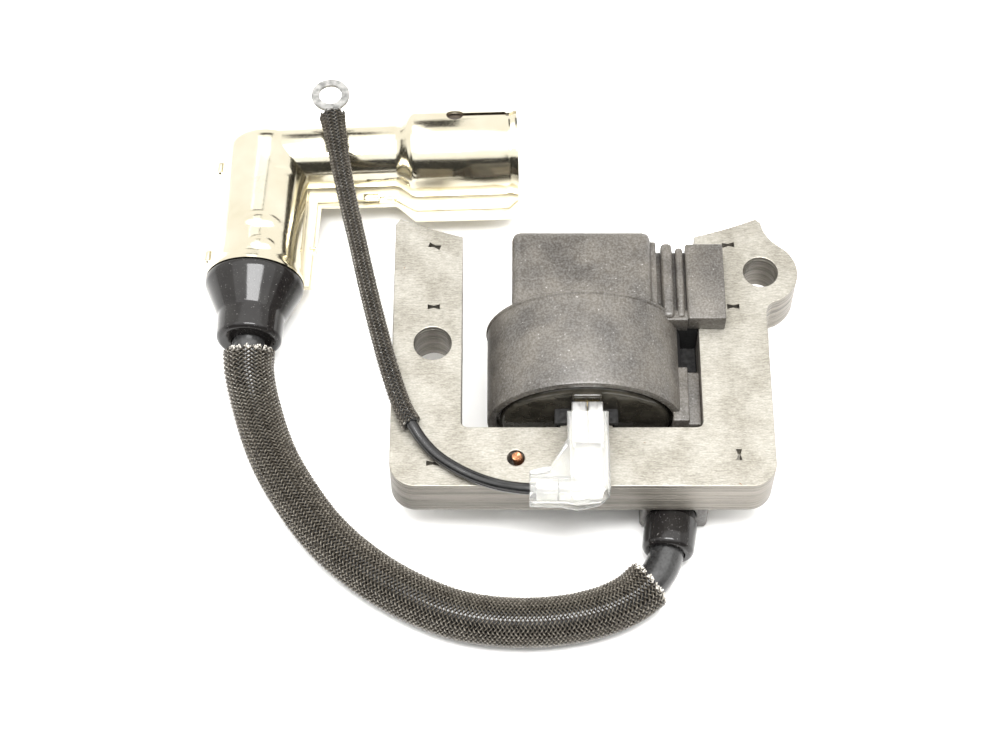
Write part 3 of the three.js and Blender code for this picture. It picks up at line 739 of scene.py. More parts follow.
def braided(name, route, radius, carriers, pitch, thick, step, body, flare):
    """A braid: two sets of ribbon-shaped yarns that wind opposite ways and weave over and under.

    radius is the outside. flare is the opening of the two ends.
    """
    points, length = even(catmull(route, step), step)
    frames = carried_frames(points)
    centre = np.array([tuple(p) for p in points])
    side = np.array([tuple(f[0]) for f in frames])
    up = np.array([tuple(f[1]) for f in frames])
    along = np.linspace(0, length, len(points))
    swing = thick * 0.42
    middle = radius - swing - thick * 0.5
    opened = opening(along, length, flare)
    tilt = math.atan2(2 * math.pi * middle, pitch)
    half = math.pi * middle / carriers * 0.90 * math.cos(tilt)
    across = np.array([-1.0, -0.55, 0.0, 0.55, 1.0])
    crown = thick * (0.9 * (1 - across ** 2) - 0.4)
    tangent = np.cross(side, up)
    n = len(across)
    verts, faces, uvs = [], [], []
    for sign in (1, -1):
        for carrier in range(carriers):
            angle = sign * 2 * np.pi * along / pitch + 2 * np.pi * carrier / carriers
            weave = sign * swing * np.cos(2 * np.pi * carriers * along / pitch)
            start = len(verts) * len(points) * n
            block = np.zeros((len(points), n, 3))
            for k, share in enumerate(across):
                slip = share * half
                turn = angle + slip * math.cos(tilt) / middle
                shift = -sign * slip * math.sin(tilt)
                reach = middle + weave + crown[k] + opened
                spoke = np.cos(turn)[:, None] * side + np.sin(turn)[:, None] * up
                slide = np.clip(along + shift, 0, length) - along
                block[:, k, :] = centre + reach[:, None] * spoke - slide[:, None] * tangent
            verts.append(block.reshape(-1, 3))
            i = np.arange(len(points) - 1)[:, None]
            k = np.arange(n - 1)[None, :]
            a = start + i * n + k
            quads = np.stack([a, a + 1, a + n + 1, a + n], -1).reshape(-1, 4)
            faces.append(quads if sign > 0 else quads[:, ::-1])
            u = np.tile(np.linspace(0, 1, n), len(points))
            v = np.repeat(carriers * along / pitch + (0.5 if sign > 0 else 0.0), n)
            uvs.append(np.stack([u, v], -1))
    mesh = quad_mesh(name, np.concatenate(verts), np.concatenate(faces), np.concatenate(uvs))
    piece = finish_piece(mesh, name, body, YARN, 60)
    return piece, points, frames


def frayed_ends(name, points, frames, radius, body, count, reach):
    """Loose yarn ends that stand out of both ends of a cut braid."""
    build = Build()
    ends = [(points[0], frames[0], points[0] - points[3]), (points[-1], frames[-1], points[-1] - points[-4])]
    for centre, (side, up), out in ends:
        out = out.normalized()
        for _ in range(count):
            angle = random.uniform(0, 2 * math.pi)
            spread = random.uniform(0.1, 0.9)
            lean = random.uniform(-0.7, 0.7)
            long = random.uniform(0.35, 1.0) * reach
            radial = side * math.cos(angle) + up * math.sin(angle)
            sideways = radial.cross(out)
            thread = []
            for i in range(5):
                t = i / 4
                curl = t * t * reach * 0.5
                thread.append(centre + radial * (radius * 0.92 + spread * curl) + out * (long * t - 0.6)
                              + sideways * lean * curl)
            build.join(thread_tube(thread, 0.15))
    return build.piece(name, body, "braid", RAW_YARN, 60)


def spokes(side, up, count):
    """Unit vectors round a route's point."""
    return [side * math.cos(angle) + up * math.sin(angle) for angle in angles(count)]


def thread_tube(points, radius, sides=5):
    """A thin closed tube through the points."""
    rings = []
    for i, p in enumerate(points):
        tangent = (points[min(i + 1, len(points) - 1)] - points[max(i - 1, 0)]).normalized()
        side = tangent.cross(Vector((0.3, 0.2, 1))).normalized()
        rings.append([p + radius * spoke for spoke in spokes(side, tangent.cross(side), sides)])
    return loft(rings)


def lining(name, points, frames, radius, body, flare):
    """The dark inner wall of a braid, which closes the view between its yarns."""
    step = (points[1] - points[0]).length
    length = step * (len(points) - 1)
    outer, inner = [], []
    for i in list(range(0, len(points) - 1, 6)) + [len(points) - 1]:
        reach = radius + float(opening(i * step, length, flare))
        around = spokes(*frames[i], 28)
        outer.append([points[i] + reach * spoke for spoke in around])
        inner.append([points[i] + (reach - 0.25) * spoke for spoke in around])
    return loft(outer + inner[::-1], closed=True).piece(name, body, "braid", LINING, 60)


def make_leads():
    """Both leads with their sleeves. Returns each cable, its length, and what is drawn over it."""
    cable, cable_length = cable_curve("spark_cable_jacket", LEAD_ROUTE, CABLE_R, "coil",
                                      CABLE_JACKET, 1.0)
    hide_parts("spark_cable")
    flare = ((0.25, 3.0), (0.5, 5.0))
    sleeve, points, frames = braided("spark_sleeve_braid", SLEEVE_ROUTE, SLEEVE_R, carriers=20, pitch=17.0,
                                     thick=0.5, step=0.13, body="coil", flare=flare)
    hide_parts("spark_sleeve")
    inner = lining("spark_sleeve_lining", points, frames, SLEEVE_R - 0.95, "coil", flare)
    frays = frayed_ends("spark_sleeve_frays", points, frames, SLEEVE_R, "coil", 150, 1.1)

    wire, wire_length = cable_curve("kill_wire_jacket", WIRE_ROUTE, WIRE_R, "stop_lead",
                                    WIRE_JACKET, 0.7)
    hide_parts("kill_wire")
    flare = ((0.15, 2.0), (0.95, 8.0))
    braid, points, frames = braided("kill_sleeve_braid", KILL_SLEEVE_ROUTE, KILL_SLEEVE_R, carriers=10,
                                    pitch=8.5, thick=0.34, step=0.13, body="stop_lead", flare=flare)
    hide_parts("kill_sleeve")
    liner = lining("kill_sleeve_lining", points, frames, KILL_SLEEVE_R - 0.66, "stop_lead", flare)
    return {
        "spark": (cable, cable_length, [sleeve, inner, frays]),
        "kill": (wire, wire_length, [braid, liner]),
    }


# ---- Core ------------------------------------------------------------------------------------

def pole_y(x):
    """Where the flywheel's arc cuts the legs."""
    return FLYWHEEL_Y - math.sqrt(FLYWHEEL_R ** 2 - x ** 2)


def arc(cx, cy, radius, start, end, steps):
    """Points on a circle between two angles."""
    return [(cx + radius * math.cos(start + (end - start) * i / steps),
             cy + radius * math.sin(start + (end - start) * i / steps)) for i in range(steps + 1)]


def bend(a, corner, b, steps=6):
    """A quadratic curve from a to b that is pulled to a corner."""
    a, corner, b = Vector(a), Vector(corner), Vector(b)
    shares = [i / steps for i in range(steps + 1)]
    return [tuple(a.lerp(corner, t).lerp(corner.lerp(b, t), t)) for t in shares]


def core_outline():
    """The E of one lamination, anticlockwise from the front right corner."""
    tip = CORE_HALF - 1.0
    pole = [(x, pole_y(x)) for x in np.linspace(tip, WINDOW_HALF, 18)]
    points = arc(CORE_HALF - CORE_CORNER, CORE_CORNER, CORE_CORNER, -math.pi / 2, 0, 12)
    points += bend((CORE_HALF, 39.4), (CORE_HALF + 0.2, 41.9), (40.4, 42.4))
    points += arc(RIGHT_HOLE[0], RIGHT_HOLE[1], EAR_RADIUS, -1.13, 0.84, 30)[1:]
    points += bend(points[-1], (CORE_HALF + 0.5, 57.6), (CORE_HALF, 61.4), 8)[1:]
    points += pole
    points += bend((WINDOW_HALF, WINDOW_FRONT + WINDOW_CORNER), (WINDOW_HALF, WINDOW_FRONT),
                   (WINDOW_HALF - WINDOW_CORNER, WINDOW_FRONT))
    for x in (COIL_X + LEG_HALF, COIL_X - LEG_HALF):
        foot, end = (x, WINDOW_FRONT), (x, pole_y(x))
        points += [foot, end] if x > COIL_X else [end, foot]
    points += bend((WINDOW_CORNER - WINDOW_HALF, WINDOW_FRONT), (-WINDOW_HALF, WINDOW_FRONT),
                   (-WINDOW_HALF, WINDOW_FRONT + WINDOW_CORNER))
    points += [(-x, y) for x, y in pole[::-1]]
    points += [(-CORE_HALF, 61.0)]
    points += arc(CORE_CORNER - CORE_HALF, CORE_CORNER, CORE_CORNER, math.pi, 1.5 * math.pi, 12)
    return points


def sheet_build(z0, z1, rim):
    """One lamination as a filled flat curve with holes, thickness and slightly rounded edges."""
    data = bpy.data.curves.new("sheet", "CURVE")
    data.dimensions = "2D"
    data.fill_mode = "BOTH"
    data.extrude = (z1 - z0) / 2 - rim
    data.bevel_depth = rim
    data.bevel_resolution = 1
    data.offset = -rim
    loops = [core_outline()]
    loops += [arc(x, y, r, 0, 2 * math.pi, 40)[:-1] for x, y, r in (LEFT_HOLE, RIGHT_HOLE, PIN_HOLE)]
    for points in loops:
        spline = data.splines.new("POLY")
        spline.points.add(len(points) - 1)
        spline.use_cyclic_u = True
        for target, (x, y) in zip(spline.points, points):
            target.co = (x, y, 0, 1)
    item = bpy.data.objects.new("sheet", data)
    bpy.context.scene.collection.objects.link(item)
    graph = bpy.context.evaluated_depsgraph_get()
    mesh = bpy.data.meshes.new_from_object(item.evaluated_get(graph))
    middle = Vector((0, 0, (z0 + z1) / 2))
    build = Build().add([v.co + middle for v in mesh.vertices], [list(p.vertices) for p in mesh.polygons])
    bpy.data.objects.remove(item)
    bpy.data.meshes.remove(mesh)
    bm = to_bmesh(build)
    bmesh.ops.remove_doubles(bm, verts=bm.verts, dist=1e-4)
    return from_bmesh(bm)


# Staking dimples: x, y and the way each is turned, in degrees.
DIMPLES = [
    (-29.7, 55.6, -18), (-29.7, 40.9, 0), (-29.4, 5.0, 0),
    (30.6, 6.9, 90), (30.9, 55.9, 5), (31.2, 41.0, 0),
]
DIMPLED_SHEETS = 2                  # the dimples go this many sheets deep


def dimple_cutter(x, y, angle):
    """A lanced bow-tie slot."""
    half, wide, waist, deep = 1.25, 0.62, 0.26, 2.4
    outline = [(-half, -wide), (0, -waist), (half, -wide), (half, wide), (0, waist), (-half, wide)]
    place = Matrix.Translation((x, y, CORE_TOP)) @ Matrix.Rotation(math.radians(angle), 4, "Z")
    return prism(outline, -deep, 0.5).moved(place)


def lay_cut_faces_and_dimple_shade(piece):
    """Gives every face that doesn't lie flat the cut-edge material, which on the staking dimples' walls is
    painted shade.
    """
    piece.data.materials.append(CUT_STEEL)
    for polygon in piece.data.polygons:
        polygon.material_index = 0 if abs(polygon.normal.z) > 0.5 else 1


def make_core():
    """The ten sheets, staked together, and the earth pin's stub."""
    dimples = [dimple_cutter(*dimple) for dimple in DIMPLES]
    for i in range(SHEETS):
        z0 = LIFT + i * SHEET
        top = i >= SHEETS - DIMPLED_SHEETS
        build = sheet_build(z0, z0 + SHEET, 0.2 if i == SHEETS - 1 else 0.13)
        for dimple in dimples if top else []:
            build = combine(build, dimple, "DIFFERENCE")
        name = f"lamination_{i + 1:02d}"
        piece = build.piece(name + "_sheet", "coil", "core_steel", STEEL, 12)
        lay_cut_faces_and_dimple_shade(piece)
        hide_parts(name)
    stub = turned(rounded([(0, -4.4), (1.0, -4.4), (1.05, 0.2), (0.92, 0.75), (0, 0.55)], 0.2), 24)
    for v in stub.verts:
        v.y += 0.12 * math.sin(5 * v.x) + 0.1 * v.z
    place = (Matrix.Translation((PIN_HOLE[0] + 0.25, PIN_HOLE[1] + 0.1, CORE_TOP))
             @ Matrix.Rotation(math.radians(90), 4, "X") @ Matrix.Rotation(math.radians(9), 4, "Z"))
    pin = stub.moved(place).piece("ground_pin_stub", "coil", "copper", COPPER)
    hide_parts("ground_pin")


# ---- Winding case ----------------------------------------------------------------------------

def elliptical(profile, sides=120, closed=True):
    """A ring round the coil's axis from [distance in from the case's outside, y] points."""
    rings = []
    for inset, y in profile:
        wide, high = ROLL_A - inset, ROLL_B - inset
        rings.append([Vector((COIL_X + wide * math.cos(t), y, MID_Z + high * math.sin(t)))
                      for t in angles(sides)])
    return loft(rings, closed=closed, caps=not closed)


def along_leg(half, y0, y1, radius):
    """A square bar round the core's centre leg."""
    return rounded_box((COIL_X - half, y0, MID_Z - half), (COIL_X + half, y1, MID_Z + half), radius, 1)


def case_rooms():
    """Everything that is hollow in the moulding: windings, core tunnel, module and lead."""
    mouth = elliptical([(INNER, ROLL_FRONT - 1), (CASE_WALL - 0.6, ROLL_FRONT - 1),
                        (CASE_WALL - 0.3, ROLL_FRONT), (CASE_WALL, ROLL_FRONT + 0.4),
                        (CASE_WALL, ROLL_BACK - CASE_WALL), (INNER, ROLL_BACK - CASE_WALL)], closed=False)
    around_leg = along_leg(6.6, ROLL_FRONT + 1.9, ROLL_BACK + 2, 0.5)
    tunnel = along_leg(TUNNEL_HALF, 10, 60, 0.1)
    module = rounded_box((-11.5, ROLL_BACK - 3, 23.6), (12.1, TAIL_BACK - 1.4, 27.8), 0.2, 1)
    place = Matrix.Translation(BOOT_MOUTH) @ Matrix.Rotation(BOOT_TURN, 4, "Z")
    bore = turned([(0, -3), (4.9, -3), (4.9, 13), (1.5, 13), (1.5, 17.6), (0, 17.6)], 48).moved(place)
    return [combine(mouth, around_leg, "DIFFERENCE"), tunnel, module, bore]


def paint_shade(piece, low, high):
    """Gives the faces inside a box a near-black material: painted shade for an unlit recess."""
    piece.data.materials.append(PAINTED_SHADE)
    low, high = row(low), row(high)
    for polygon in piece.data.polygons:
        if all(a < c < b for a, c, b in zip(low, polygon.center, high)):
            polygon.material_index = 1


# The moulding's boxes: low corner, high corner, edge radius.
CASE_BOXES = [
    ((COIL_X - 5, ROLL_FRONT + 1, 0), (COIL_X + 5, ROLL_BACK - 1, 2), 0.3),  # foot
    ((12, BOOT_MOUTH.y, 0.3), (25.6, 20, 11.0), 0.9),  # lead outlet
    ((12.9, ROLL_BACK - 1.1, 12.05), (15.5, TAIL_BACK - 0.7, 27.1), 0.35),  # step
    ((13, ROLL_BACK - 1, 12.0), (23.3, TAIL_BACK - 0.9, 23.4), 0.3),  # bridge
    ((16.5, ROLL_BACK - 2, 12.1), (18.9, TAIL_BACK - 0.3, 26.2), 0.9),  # rib
    ((19.5, ROLL_BACK - 1.8, 12.2), (21.1, TAIL_BACK - 1.1, 25.7), 0.7),  # rib
    ((21.65, 35.5, CORE_TOP + 0.1), (29.2, 53.4, CORE_TOP + 4.3), 0.3),  # lug on the leg
    ((21.5, 35.6, 12.15), (23.5, 53.3, CORE_TOP + 4.1), 0.3),  # lug's root
    ((17.1, 35.65, 1.25), (23.87, 38.0, 21.5), 0.3),  # pocket's back
    ((17.1, 35.65, 20.0), (23.4, 38.0, 25.3), 0.3),  # its top
    ((18.0, 14.6, 2.6), (21.3, 26.9, 21.6), 0.3),  # rail
    ((20.6, 14.9, 2.5), (23.85, 26.95, 19.4), 0.3),  # lower rail
    ((17.05, 25.0, 12.02), (23.87, 38.1, 14.0), 0.3),  # pocket's floor
]


def make_case():
    """The one moulding: winding case, box behind it, foot, ribs, lug, rails and lead outlet."""
    roll = elliptical([(INNER, ROLL_FRONT), (0.5, ROLL_FRONT), (0.15, ROLL_FRONT + 0.12),
                       (0.0, ROLL_FRONT + 0.5), (0.0, ROLL_BACK - 1.0), (-0.25, ROLL_BACK - 0.7),
                       (-0.25, ROLL_BACK - 0.35), (0.0, ROLL_BACK - 0.05), (0.4, ROLL_BACK),
                       (INNER, ROLL_BACK)], closed=False)
    tail = rounded_box((-13.8, ROLL_BACK - 4, TAIL_BOTTOM), (14.4, TAIL_BACK + 0.9, TAIL_TOP), 1.8)
    behind = rounded_box((-20, ROLL_BACK - 0.5, 0), (20, TAIL_BACK + 5, 40), 0.01, 1)
    tail = combine(tail, behind, "INTERSECT")
    case = fuse([roll, tail] + [rounded_box(low, high, radius) for low, high, radius in CASE_BOXES])
    for room in case_rooms():
        case = combine(case, room, "DIFFERENCE")
    piece = case.piece("coil_case_moulding", "coil", "case_plastic", PLASTIC)
    # Painted shade: the pocket beside the winding case is drawn near black.
    paint_shade(piece, (16.6, 27.02, 0), (23.9, 38.2, 21.8))
    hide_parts("coil_case")


def make_resin():
    """Cast resin with its rim rounded where it shrank from the wall, a block that holds the blade, and
    a low saddle over the core's centre leg."""
    face = ROLL_FRONT + 0.8
    wall = CASE_WALL + 0.02
    end = ROLL_BACK - CASE_WALL - 0.3
    edge = arc(wall + 2.1, face + 0.35, 1.3, -math.pi / 2, -math.pi, 8)
    pool = elliptical([(INNER, face - 0.95)] + edge + [(wall + 0.75, face + 0.55), (wall + 0.06, face + 0.65),
                      (wall, face + 0.8), (wall, end), (INNER, end)], closed=False)
    boss = rounded_box((COIL_X - 2.9, face - 1.8, 25.4), (COIL_X + 2.9, face + 2.5, 29.55), 0.45)
    saddle = rounded_box((COIL_X - 6.3, WINDOW_FRONT + 0.15, 3), (COIL_X + 6.3, face + 2.5, MID_Z + 6.4), 0.3)
    whole = fuse([pool, boss, saddle])
    room = elliptical([(3.6, ROLL_FRONT + 1.7), (3.6, end + 1)], closed=False)
    leg = along_leg(5.6, WINDOW_FRONT - 2, end + 1, 0.1)
    collar = along_leg(6.9, face + 0.95, end + 1, 0.2)
    slot = rounded_box((COIL_X - BLADE_W / 2 - 0.1, face - 3, BLADE_Z - BLADE_T / 2 - 0.1),
                       (COIL_X + BLADE_W / 2 + 0.1, face + 3, BLADE_Z + BLADE_T / 2 + 0.1), 0.05, 1)
    for cutter in (room, leg, collar, slot):
        whole = combine(whole, cutter, "DIFFERENCE")
    piece = whole.piece("potting_resin_pool", "coil", "resin", RESIN)
    # Painted shade: the saddle and the faces round the centre leg, below the resin's face, get the near-black
    # material.
    paint_shade(piece, (COIL_X - 6.5, WINDOW_FRONT, 0), (COIL_X + 6.5, face - 0.96, 24.5))
    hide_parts("potting_resin")


def make_boot():
    """The rubber boot where the spark plug lead leaves the case."""
    profile = rounded([(3.6, -8.4), (4.6, -8.4), (5.15, -7.6), (5.25, -5.6), (5.25, -1.2), (4.75, -1.0),
                       (4.75, 2.0), (3.6, 2.0)], 0.35)
    boot = turned(profile, 56, closed=True)
    place = Matrix.Translation(BOOT_MOUTH) @ Matrix.Rotation(BOOT_TURN, 4, "Z")
    piece = boot.moved(place).piece("lead_boot_rubber", "coil", "rubber", RUBBER)
    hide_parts("lead_boot")


# ---- Plug cap --------------------------------------------------------------------------------

def turn_z(angle):
    """A turn about Z."""
    return Matrix.Rotation(angle, 4, "Z")


NECK_PLACE = Matrix.Translation(CAP) @ turn_z(-ARM_TURN)


def lined(profile, longest):
    """The profile with its long straight runs cut into shorter ones."""
    out = [profile[0]]
    for a, b in zip(profile, profile[1:]):
        count = max(1, math.ceil((Vector(b) - Vector(a)).length / longest))
        out += [tuple(Vector(a).lerp(Vector(b), i / count)) for i in range(1, count + 1)]
    return out


def ease(value, low, high):
    """0 below low, 1 above high, and smooth in between."""
    t = min(1.0, max(0.0, (value - low) / (high - low)))
    return t * t * (3 - 2 * t)


# Pressed features on top of the cable arm: x, y, half width, half length, depth. Two raised pads
# near the boot, and one shallow hollow by the elbow.
PRESSINGS = [(1.1, -21.6, 4.5, 2.1, -0.55), (2.0, -27.8, 3.0, 1.8, -0.5), (4.2, -7.6, 2.6, 1.3, 0.15)]


def pressed(build):
    """Flattens the cable arm toward the elbow and presses the features into its top."""
    for v in build.verts:
        v.z *= 1 - NECK_FLATTENING * ease(v.y, -29, -3)
        if v.z > 0:
            for x, y, half_x, half_y, depth in PRESSINGS:
                reach = ((v.x - x) / half_x) ** 2 + ((v.y - y) / half_y) ** 2
                v.z -= depth * (1 - ease(reach, 0.0, 1.0))
    return build


def neck_solid(offset, end):
    """The cable arm, closed and rounded behind the elbow, drawn in by an offset."""
    r = NECK_R - offset
    reach = NECK_CORNER - offset
    profile = [(0, end), (NECK_END_R - offset, end), (NECK_END_R - offset, NECK_END + 0.6),
               (NECK_END_R - 0.5 - offset, -29.6), (r + 0.12, -25.8), (r, -23.5),
               (r, NECK_BACK - NECK_CORNER)]
    for i in range(1, 9):
        angle = i * math.pi / 16
        profile.append((NECK_R - NECK_CORNER + reach * math.cos(angle),
                        NECK_BACK - NECK_CORNER + reach * math.sin(angle)))
    profile.append((0, NECK_BACK - offset))
    return pressed(turned(lined(profile, 0.45), 144))


def arm_solid(offset, end):
    """The plug arm: a tube that steps up to the socket, with a rolled rim, drawn in by an offset."""
    tube, socket = TUBE_R - offset, SOCKET_R - offset
    profile = [(0, TUBE_BACK + offset), (TUBE_R - 2.5, TUBE_BACK + offset), (tube - 0.8, TUBE_BACK + 1),
               (tube, TUBE_BACK + 2.7), (tube, SOCKET_START - 3.6), (tube + 0.25, SOCKET_START - 2.9),
               (tube + 0.9, SOCKET_START - 2.1), (socket - 0.9, SOCKET_START - 0.9),
               (socket - 0.25, SOCKET_START - 0.1), (socket, SOCKET_START + 0.8), (socket, SOCKET_END - 2.6),
               (socket - 0.3, SOCKET_END - 2.2), (socket - 0.3, SOCKET_END - 1.4),
               (socket + 0.1, SOCKET_END - 0.6), (socket + 0.1, end), (0, end)]
    return turned_x(profile, 96)


def cap_solid(offset, neck_end, socket_end):
    """Both arms of the elbow as one solid, drawn in by an offset."""
    neck = neck_solid(offset, neck_end).moved(turn_z(-ARM_TURN))
    return combine(neck, arm_solid(offset, socket_end).moved(turn_z(ARM_TURN)), "UNION")


def flange(z0, z1, tube_width, socket_width, side_width):
    """The seam flange of one shield half: the plug arm's plate joined to the cable arm's."""
    tube_edge, socket_edge = TUBE_R + tube_width, SOCKET_R + socket_width
    arm = [(6, -tube_edge), (SOCKET_START - 3.6, -tube_edge), (SOCKET_START + 0.6, -socket_edge),
           (SOCKET_END - 2.2, -socket_edge), (SOCKET_END, -socket_edge + 2.2), (SOCKET_END, SOCKET_R + 0.6),
           (SOCKET_START, SOCKET_R + 0.6), (SOCKET_START - 3, TUBE_R + 0.6), (6, TUBE_R + 0.6)]
    side = NECK_R + side_width + 0.2
    neck = [(-NECK_R - 0.7, 1.5), (-NECK_END_R - 0.6, NECK_END + 1),
            (NECK_END_R + side_width * 0.5, NECK_END + 1), (side, -12), (side, -5), (NECK_R - 2, 1.5)]
    plates = combine(prism(arm, z0, z1).moved(turn_z(ARM_TURN)),
                     prism(neck, z0, z1).moved(turn_z(-ARM_TURN)), "UNION")
    return combine(plates, cap_solid(SHEET_METAL / 2, NECK_END - 3, SOCKET_END + 3), "DIFFERENCE")


def half_space(above):
    """Everything above or below the seam, less half the gap between the shield's halves."""
    z0, z1 = (SEAM_Z + SEAM_GAP, 40) if above else (-40, SEAM_Z - SEAM_GAP)
    return prism([(-60, -80), (90, -80), (90, 60), (-60, 60)], z0, z1)


def keyhole():
    """The hole and slot that let the socket's mouth spring open."""
    hole = turned([(0, 2), (1.85, 2), (1.85, 16), (0, 16)], 40).moved(Matrix.Translation((40.9, 0, 0)))
    slot = rounded_box((41.2, 2, -0.6), (SOCKET_END + 2, 16, 0.6), 0.05, 1)
    return combine(hole, slot, "UNION").moved(turn_z(ARM_TURN) @ Matrix.Rotation(math.radians(67), 4, "X"))


def seam_tabs():
    """Folded tabs that hold the two seam flanges together."""
    top = SEAM_Z + SEAM_GAP + SHEET_METAL
    tabs = [rounded_box((20.6, -10.4, top - 0.2), (23.9, -8.8, top + 0.4), 0.15),
            rounded_box((24.1, -11.2, top - 1.5), (27.4, -9.5, top + 0.3), 0.15)]
    for tab in tabs:
        tab.moved(turn_z(ARM_TURN))
    side = rounded_box((NECK_R + 1.2, -21.9, top - 1.6), (NECK_R + 2.6, -21.3, top + 0.35), 0.15)
    tabs.append(side.moved(turn_z(-ARM_TURN)))
    return fuse(tabs)


def rolled_clips():
    """Two short rolls of the lower half's edge, on the outer side of the cable arm."""
    clips = Build()
    for y in (-1.2, -24.2):
        roll = turned(bush(0.35, 0.85, y - 1.2, y + 1.2, 0.15), 20, closed=True)
        clips.join(roll.moved(Matrix.Translation((-NECK_R - 1.0 + 0.02 * y, 0, SEAM_Z + 0.25))))
    return clips


def dull_flange(piece):
    """Gives the flat faces at the seam the duller material."""
    piece.data.materials.append(SHIELD_FLANGE)
    seam = (CAP.z + SEAM_Z) * MM
    for polygon in piece.data.polygons:
        if polygon.normal.z > 0.98 and abs(polygon.center.z - seam) < 1.2 * MM:
            polygon.material_index = 1


def make_shield():
    """The two pressed halves with their seam flanges, the tabs on the seam and the rolled clips."""
    wall = combine(cap_solid(0, NECK_END, SOCKET_END), cap_solid(SHEET_METAL, NECK_END - 3, SOCKET_END + 3),
                   "DIFFERENCE")
    place = Matrix.Translation(CAP)
    low, high = SEAM_Z - SEAM_GAP, SEAM_Z + SEAM_GAP
    upper = combine(combine(wall, half_space(True), "INTERSECT"), keyhole(), "DIFFERENCE")
    upper = combine(upper, flange(high, high + SHEET_METAL, 3.1, 3.1, 1.8), "UNION")
    piece = upper.moved(place).piece("shield_upper_pressing", "plug_cap", "shield_metal", SHIELD, 38)
    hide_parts("shield_upper")
    dull_flange(piece)
    lower = combine(wall, half_space(False), "INTERSECT")
    lower = combine(lower, flange(low - SHEET_METAL, low, 4.1, 5.4, 2.6), "UNION")
    other = lower.moved(place).piece("shield_lower_pressing", "plug_cap", "shield_metal", SHIELD, 24)
    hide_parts("shield_lower")
    dull_flange(other)
    tabs = seam_tabs().moved(place).piece("shield_tabs", "plug_cap", "shield_metal", SHIELD)
    clips = rolled_clips().moved(NECK_PLACE).piece("shield_clips", "plug_cap", "shield_metal", SHIELD)
    return [piece, other, tabs, clips]


def make_cap_boot():
    """The rubber cone at the cable end of the cap."""
    profile = rounded([(3.6, -46.6), (6.1, -46.6), (6.75, -45.9), (6.95, -40.6), (10.25, -33.6),
                       (10.4, -32.4), (9.2, -31.9), (3.6, -31.9)], 0.4, 4)
    boot = turned(profile, 96, closed=True)
    piece = boot.moved(NECK_PLACE).piece("cap_boot_rubber", "plug_cap", "rubber", RUBBER, 40)
    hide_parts("cap_boot")
    return [piece]


# ---- Stop-switch lead ------------------------------------------------------------------------

def make_ring():
    """The ring terminal: eye, tongue and crimp barrel."""
    ring = turned([(2.45, -0.3), (2.55, -0.4), (4.0, -0.4), (4.1, -0.3),
                   (4.1, 0.3), (4.0, 0.4), (2.55, 0.4), (2.45, 0.3)], 72, closed=True)
    ring.moved(Matrix.Rotation(math.pi / 2, 4, "X"))
    tongue = rounded_box((-1.75, -6.8, -0.38), (1.75, -3.2, 0.38), 0.2)
    barrel = turned(bush(1.2, 1.75, -9.0, -5.6, 0.15), 32, closed=True)
    ring.join(tongue).join(barrel)
    place = Matrix.Translation(RING) @ turn_z(0.15)
    piece = ring.moved(place).piece("ring_terminal_eye", "stop_lead", "tinned_steel", DULL_TIN)
    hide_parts("ring_terminal")
    return [piece]


def make_flag_terminal():
    """The right-angle push-on terminal: floor, curled sides, web, barrel and insulation wings."""
    x0, x1 = COIL_X - 3.1, COIL_X + 3.1
    floor = rounded_box((x0, 6.2, BLADE_Z - 1.5), (x1, 15.2, BLADE_Z - 0.75), 0.18)
    curls = [rounded_box((low, 6.2, BLADE_Z + 0.72), (high, 15.2, BLADE_Z + 1.5), 0.3)
             for low, high in ((x0, x0 + 3.06), (x1 - 3.06, x1))]
    sides = [rounded_box((low, 6.25, BLADE_Z - 1.4), (high, 15.15, BLADE_Z + 1.4), 0.28)
             for low, high in ((x0 + 0.02, x0 + 0.6), (x1 - 0.6, x1 - 0.02))]
    web = rounded_box((x0 + 0.4, WIRE_Y - 1.9, BLADE_Z - 1.4), (x1 - 0.4, 6.8, BLADE_Z - 0.7), 0.2)
    barrel = turned_x(bush(1.25, 1.95, -9.2, -5.2, 0.2), 40, closed=True)
    wings = turned_x(bush(1.3, 2.0, -4.8, -0.6, 0.2), 40, closed=True)
    shift = Matrix.Translation((0, WIRE_Y, WIRE_Z))
    whole = fuse([floor] + curls + sides + [web, barrel.moved(shift), wings.moved(shift)])
    piece = whole.piece("flag_terminal_metal", "stop_lead", "tinned_steel", TINNED)
    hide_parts("flag_terminal")


def make_cover():
    """The clear cover: a thin soft moulding with a room for the terminal and a tunnel for the wire."""
    outline = [(-3.2, 12.9), (-3.2, 7.0), (-6.6, 0.9), (-10.6, -0.2), (-10.6, -5.9),
               (-4.4, -6.0), (-1.4, -6.7), (3.0, -5.6), (4.9, -3.8), (4.9, 12.9)]
    shell = prism(outline, 23.6, 29.4, 1.0, 4)
    room = rounded_box((-2.75, -5.2, BLADE_Z - 2.2), (4.45, 16, BLADE_Z + 1.95), 0.6)
    tunnel = turned_x([(0, -14), (2.3, -14), (2.3, 0.6), (0, 0.6)], 32)
    tunnel.moved(Matrix.Translation((0, WIRE_Y, WIRE_Z)))
    hollow = combine(combine(shell, room, "DIFFERENCE"), tunnel, "DIFFERENCE")
    piece = hollow.piece("terminal_cover_clear", "stop_lead", "clear_plastic", CLEAR, 40)
    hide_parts("terminal_cover")


# ---- CAD nodes that stay ---------------------------------------------------------------------

KEPT_LOOKS = {
    "primary_bobbin": BOBBIN, "secondary_bobbin": BOBBIN, "primary_winding": PRIMARY,
    "secondary_winding": SECONDARY, "trigger_module": MODULE, "blade_terminal": BRASS, "lead_spike": BRASS,
    "cap_insulator": PHENOLIC, "cable_screw": BRASS, "cap_resistor": RESISTOR, "contact_spring": TINNED,
    "plug_contact": BRASS, "socket_seal": RUBBER,
}


